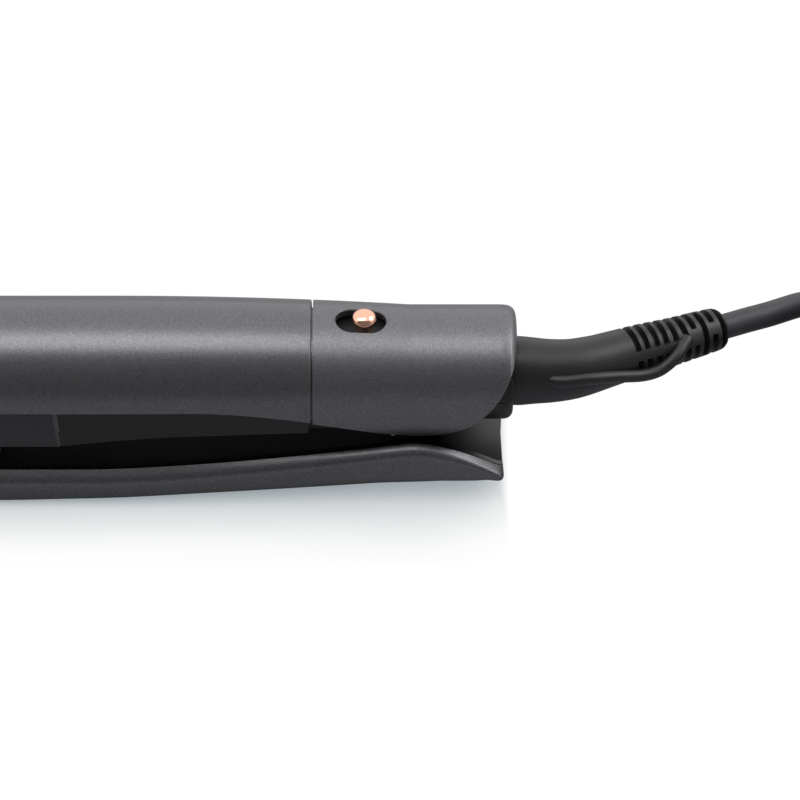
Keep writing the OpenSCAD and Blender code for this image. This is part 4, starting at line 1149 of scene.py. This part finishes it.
# Plug pins: turned brass rods with rounded ends, plated in nickel and moulded into the plug
# by their roots.
nickel = finish_named("nickel_plate", (0.66, 0.63, 0.58), 0.22, 1.0, (0.17, 0.1, 500))[0]
pin_r, pin_l, pin_pitch, pin_root = 2.0, 17.5, 18.6, 0.5
both_pins = bmesh.new()
for side in (-1, 1):
    start = plug_at + Vector((plug_relief_l + plug_l, side * pin_pitch / 2, 0))
    pin_line = [(0.0, -pin_root), (pin_r, -pin_root), (pin_r, pin_l)]
    pin_line += [(pin_r * cosd(a), pin_l + pin_r * sind(a)) for a in range(10, 91, 10)]
    pin = turned(pin_line, 32, "X", start)
    pin_data = bpy.data.meshes.new("pin")
    pin.to_mesh(pin_data)
    pin.free()
    both_pins.from_mesh(pin_data)
    bpy.data.meshes.remove(pin_data)
plug_pins = piece("plug_pins_plated", both_pins, nickel, "mains_lead", "nickel", "plug_pins",
                  creases=50)

# Strap that holds the coil: woven black nylon, folded over the turns of the lead and closed
# on itself.
nylon, tree, shader, place = finish_named("woven_nylon", (0.012, 0.012, 0.013), 0.7)
weave = add(tree, "ShaderNodeTexWave", {"Vector": place, "Scale": 900.0, "Distortion": 1.5})
bump = add(tree, "ShaderNodeBump", {"Strength": 0.6, "Distance": 0.12 * MM, "Height": weave})
feed(tree, bump, shader, "Normal")
coil_tie = softened("coil_tie", nylon, "mains_lead", "black_plastic", 0.2)

# Table: a white laminate top under the object. The camera sees a painted glow on it, nearly
# white, with a painted cool shade close under the arms that a mask ends at the tail, as in the
# photograph; the object itself sees a plain pale grey top.
table_size, shade_reach = 3.0, 0.027
lit_from, lit_to = (0.143, 0.149), (0.224, 0.24)
mesh = bmesh.new()
bmesh.ops.create_grid(mesh, x_segments=1, y_segments=1, size=table_size)
table = solid("table_top", mesh)
laminate, tree, shader, place = finish_named("white_table_laminate", (0.46, 0.48, 0.5), 0.6)
# Painted shade: occlusion near the arms darkens the painted glow to a cool grey, and a mask
# behind the tail paints it white again.
painted_shade_nearness = add(tree, "ShaderNodeAmbientOcclusion", {"Distance": shade_reach}, outlet="AO",
               samples=12)
across = along_axis(tree, place, "X")
painted_light_behind_tail = across.smooth(*lit_from) * (1 - across.smooth(*lit_to))
lit = painted_shade_nearness.math("MAXIMUM", painted_light_behind_tail)
painted_glow = add(tree, "ShaderNodeEmission",
           {"Color": blend_colours(tree, lit, (0.2, 0.25, 0.28), (1.02, 1.02, 1.02))})
camera_ray = add(tree, "ShaderNodeLightPath", {}, outlet="Is Camera Ray")
choice = add(tree, "ShaderNodeMixShader",
             {0: camera_ray, 1: Wire(tree, shader.outputs[0]), 2: painted_glow})
feed(tree, choice, tree.nodes["Material Output"], "Surface")
table.data.materials.append(laminate)

# Studio light: a large soft box overhead, a smaller one beyond the tail, a white surround,
# and a dark card in front of the object, which gives the painted sides their dark band.
world = bpy.data.worlds.new("white_surround")
bpy.context.scene.world = world
world.use_nodes = True
tree = world.node_tree
background = tree.nodes["Background"]
background.inputs["Color"].default_value = (1, 1, 1, 1)
seen, glossy, through = (add(tree, "ShaderNodeLightPath", {}, outlet=f"Is {ray} Ray")
                         for ray in ("Camera", "Glossy", "Transmission"))
bright = seen.math("MAXIMUM", glossy * 1.4).math("MAXIMUM", through)
feed(tree, 0.4 + bright * 0.6, background, "Strength")


def soft_box(name, place, aim, size, power):
    light = bpy.data.lights.new(name, "AREA")
    light.shape = "RECTANGLE"
    light.size, light.size_y = size
    light.energy = power
    lamp = linked(name, light)
    lamp.location = place
    way = Vector(aim) - Vector(place)
    lamp.rotation_mode = "QUATERNION"
    lamp.rotation_quaternion = way.to_track_quat("-Z", "Y")


soft_box("overhead_soft_box", (-0.4, -0.03, 1.3), (-0.4, -0.03, 0), (1.4, 0.56), 6)
soft_box("side_soft_box", (1.05, 0.26, 0.95), (0.14, 0, 0.02), (0.7, 0.7), 5)
card_data = bpy.data.meshes.new("dark_card")
card_data.from_pydata([(-1, -0.5, 0.02), (1.3, -0.5, 0.02), (1.3, -0.5, 1.54), (-1, -0.5, 1.54)],
                      [], [(0, 1, 2, 3)])
card = linked("dark_card", card_data)
card_data.materials.append(finish_named("black_felt_card", (0.2, 0.2, 0.2), 0.5)[0])
card.visible_camera = False
card.visible_diffuse = False
card.visible_shadow = False
card.visible_transmission = False
bpy.context.scene.view_settings.view_transform = "Standard"
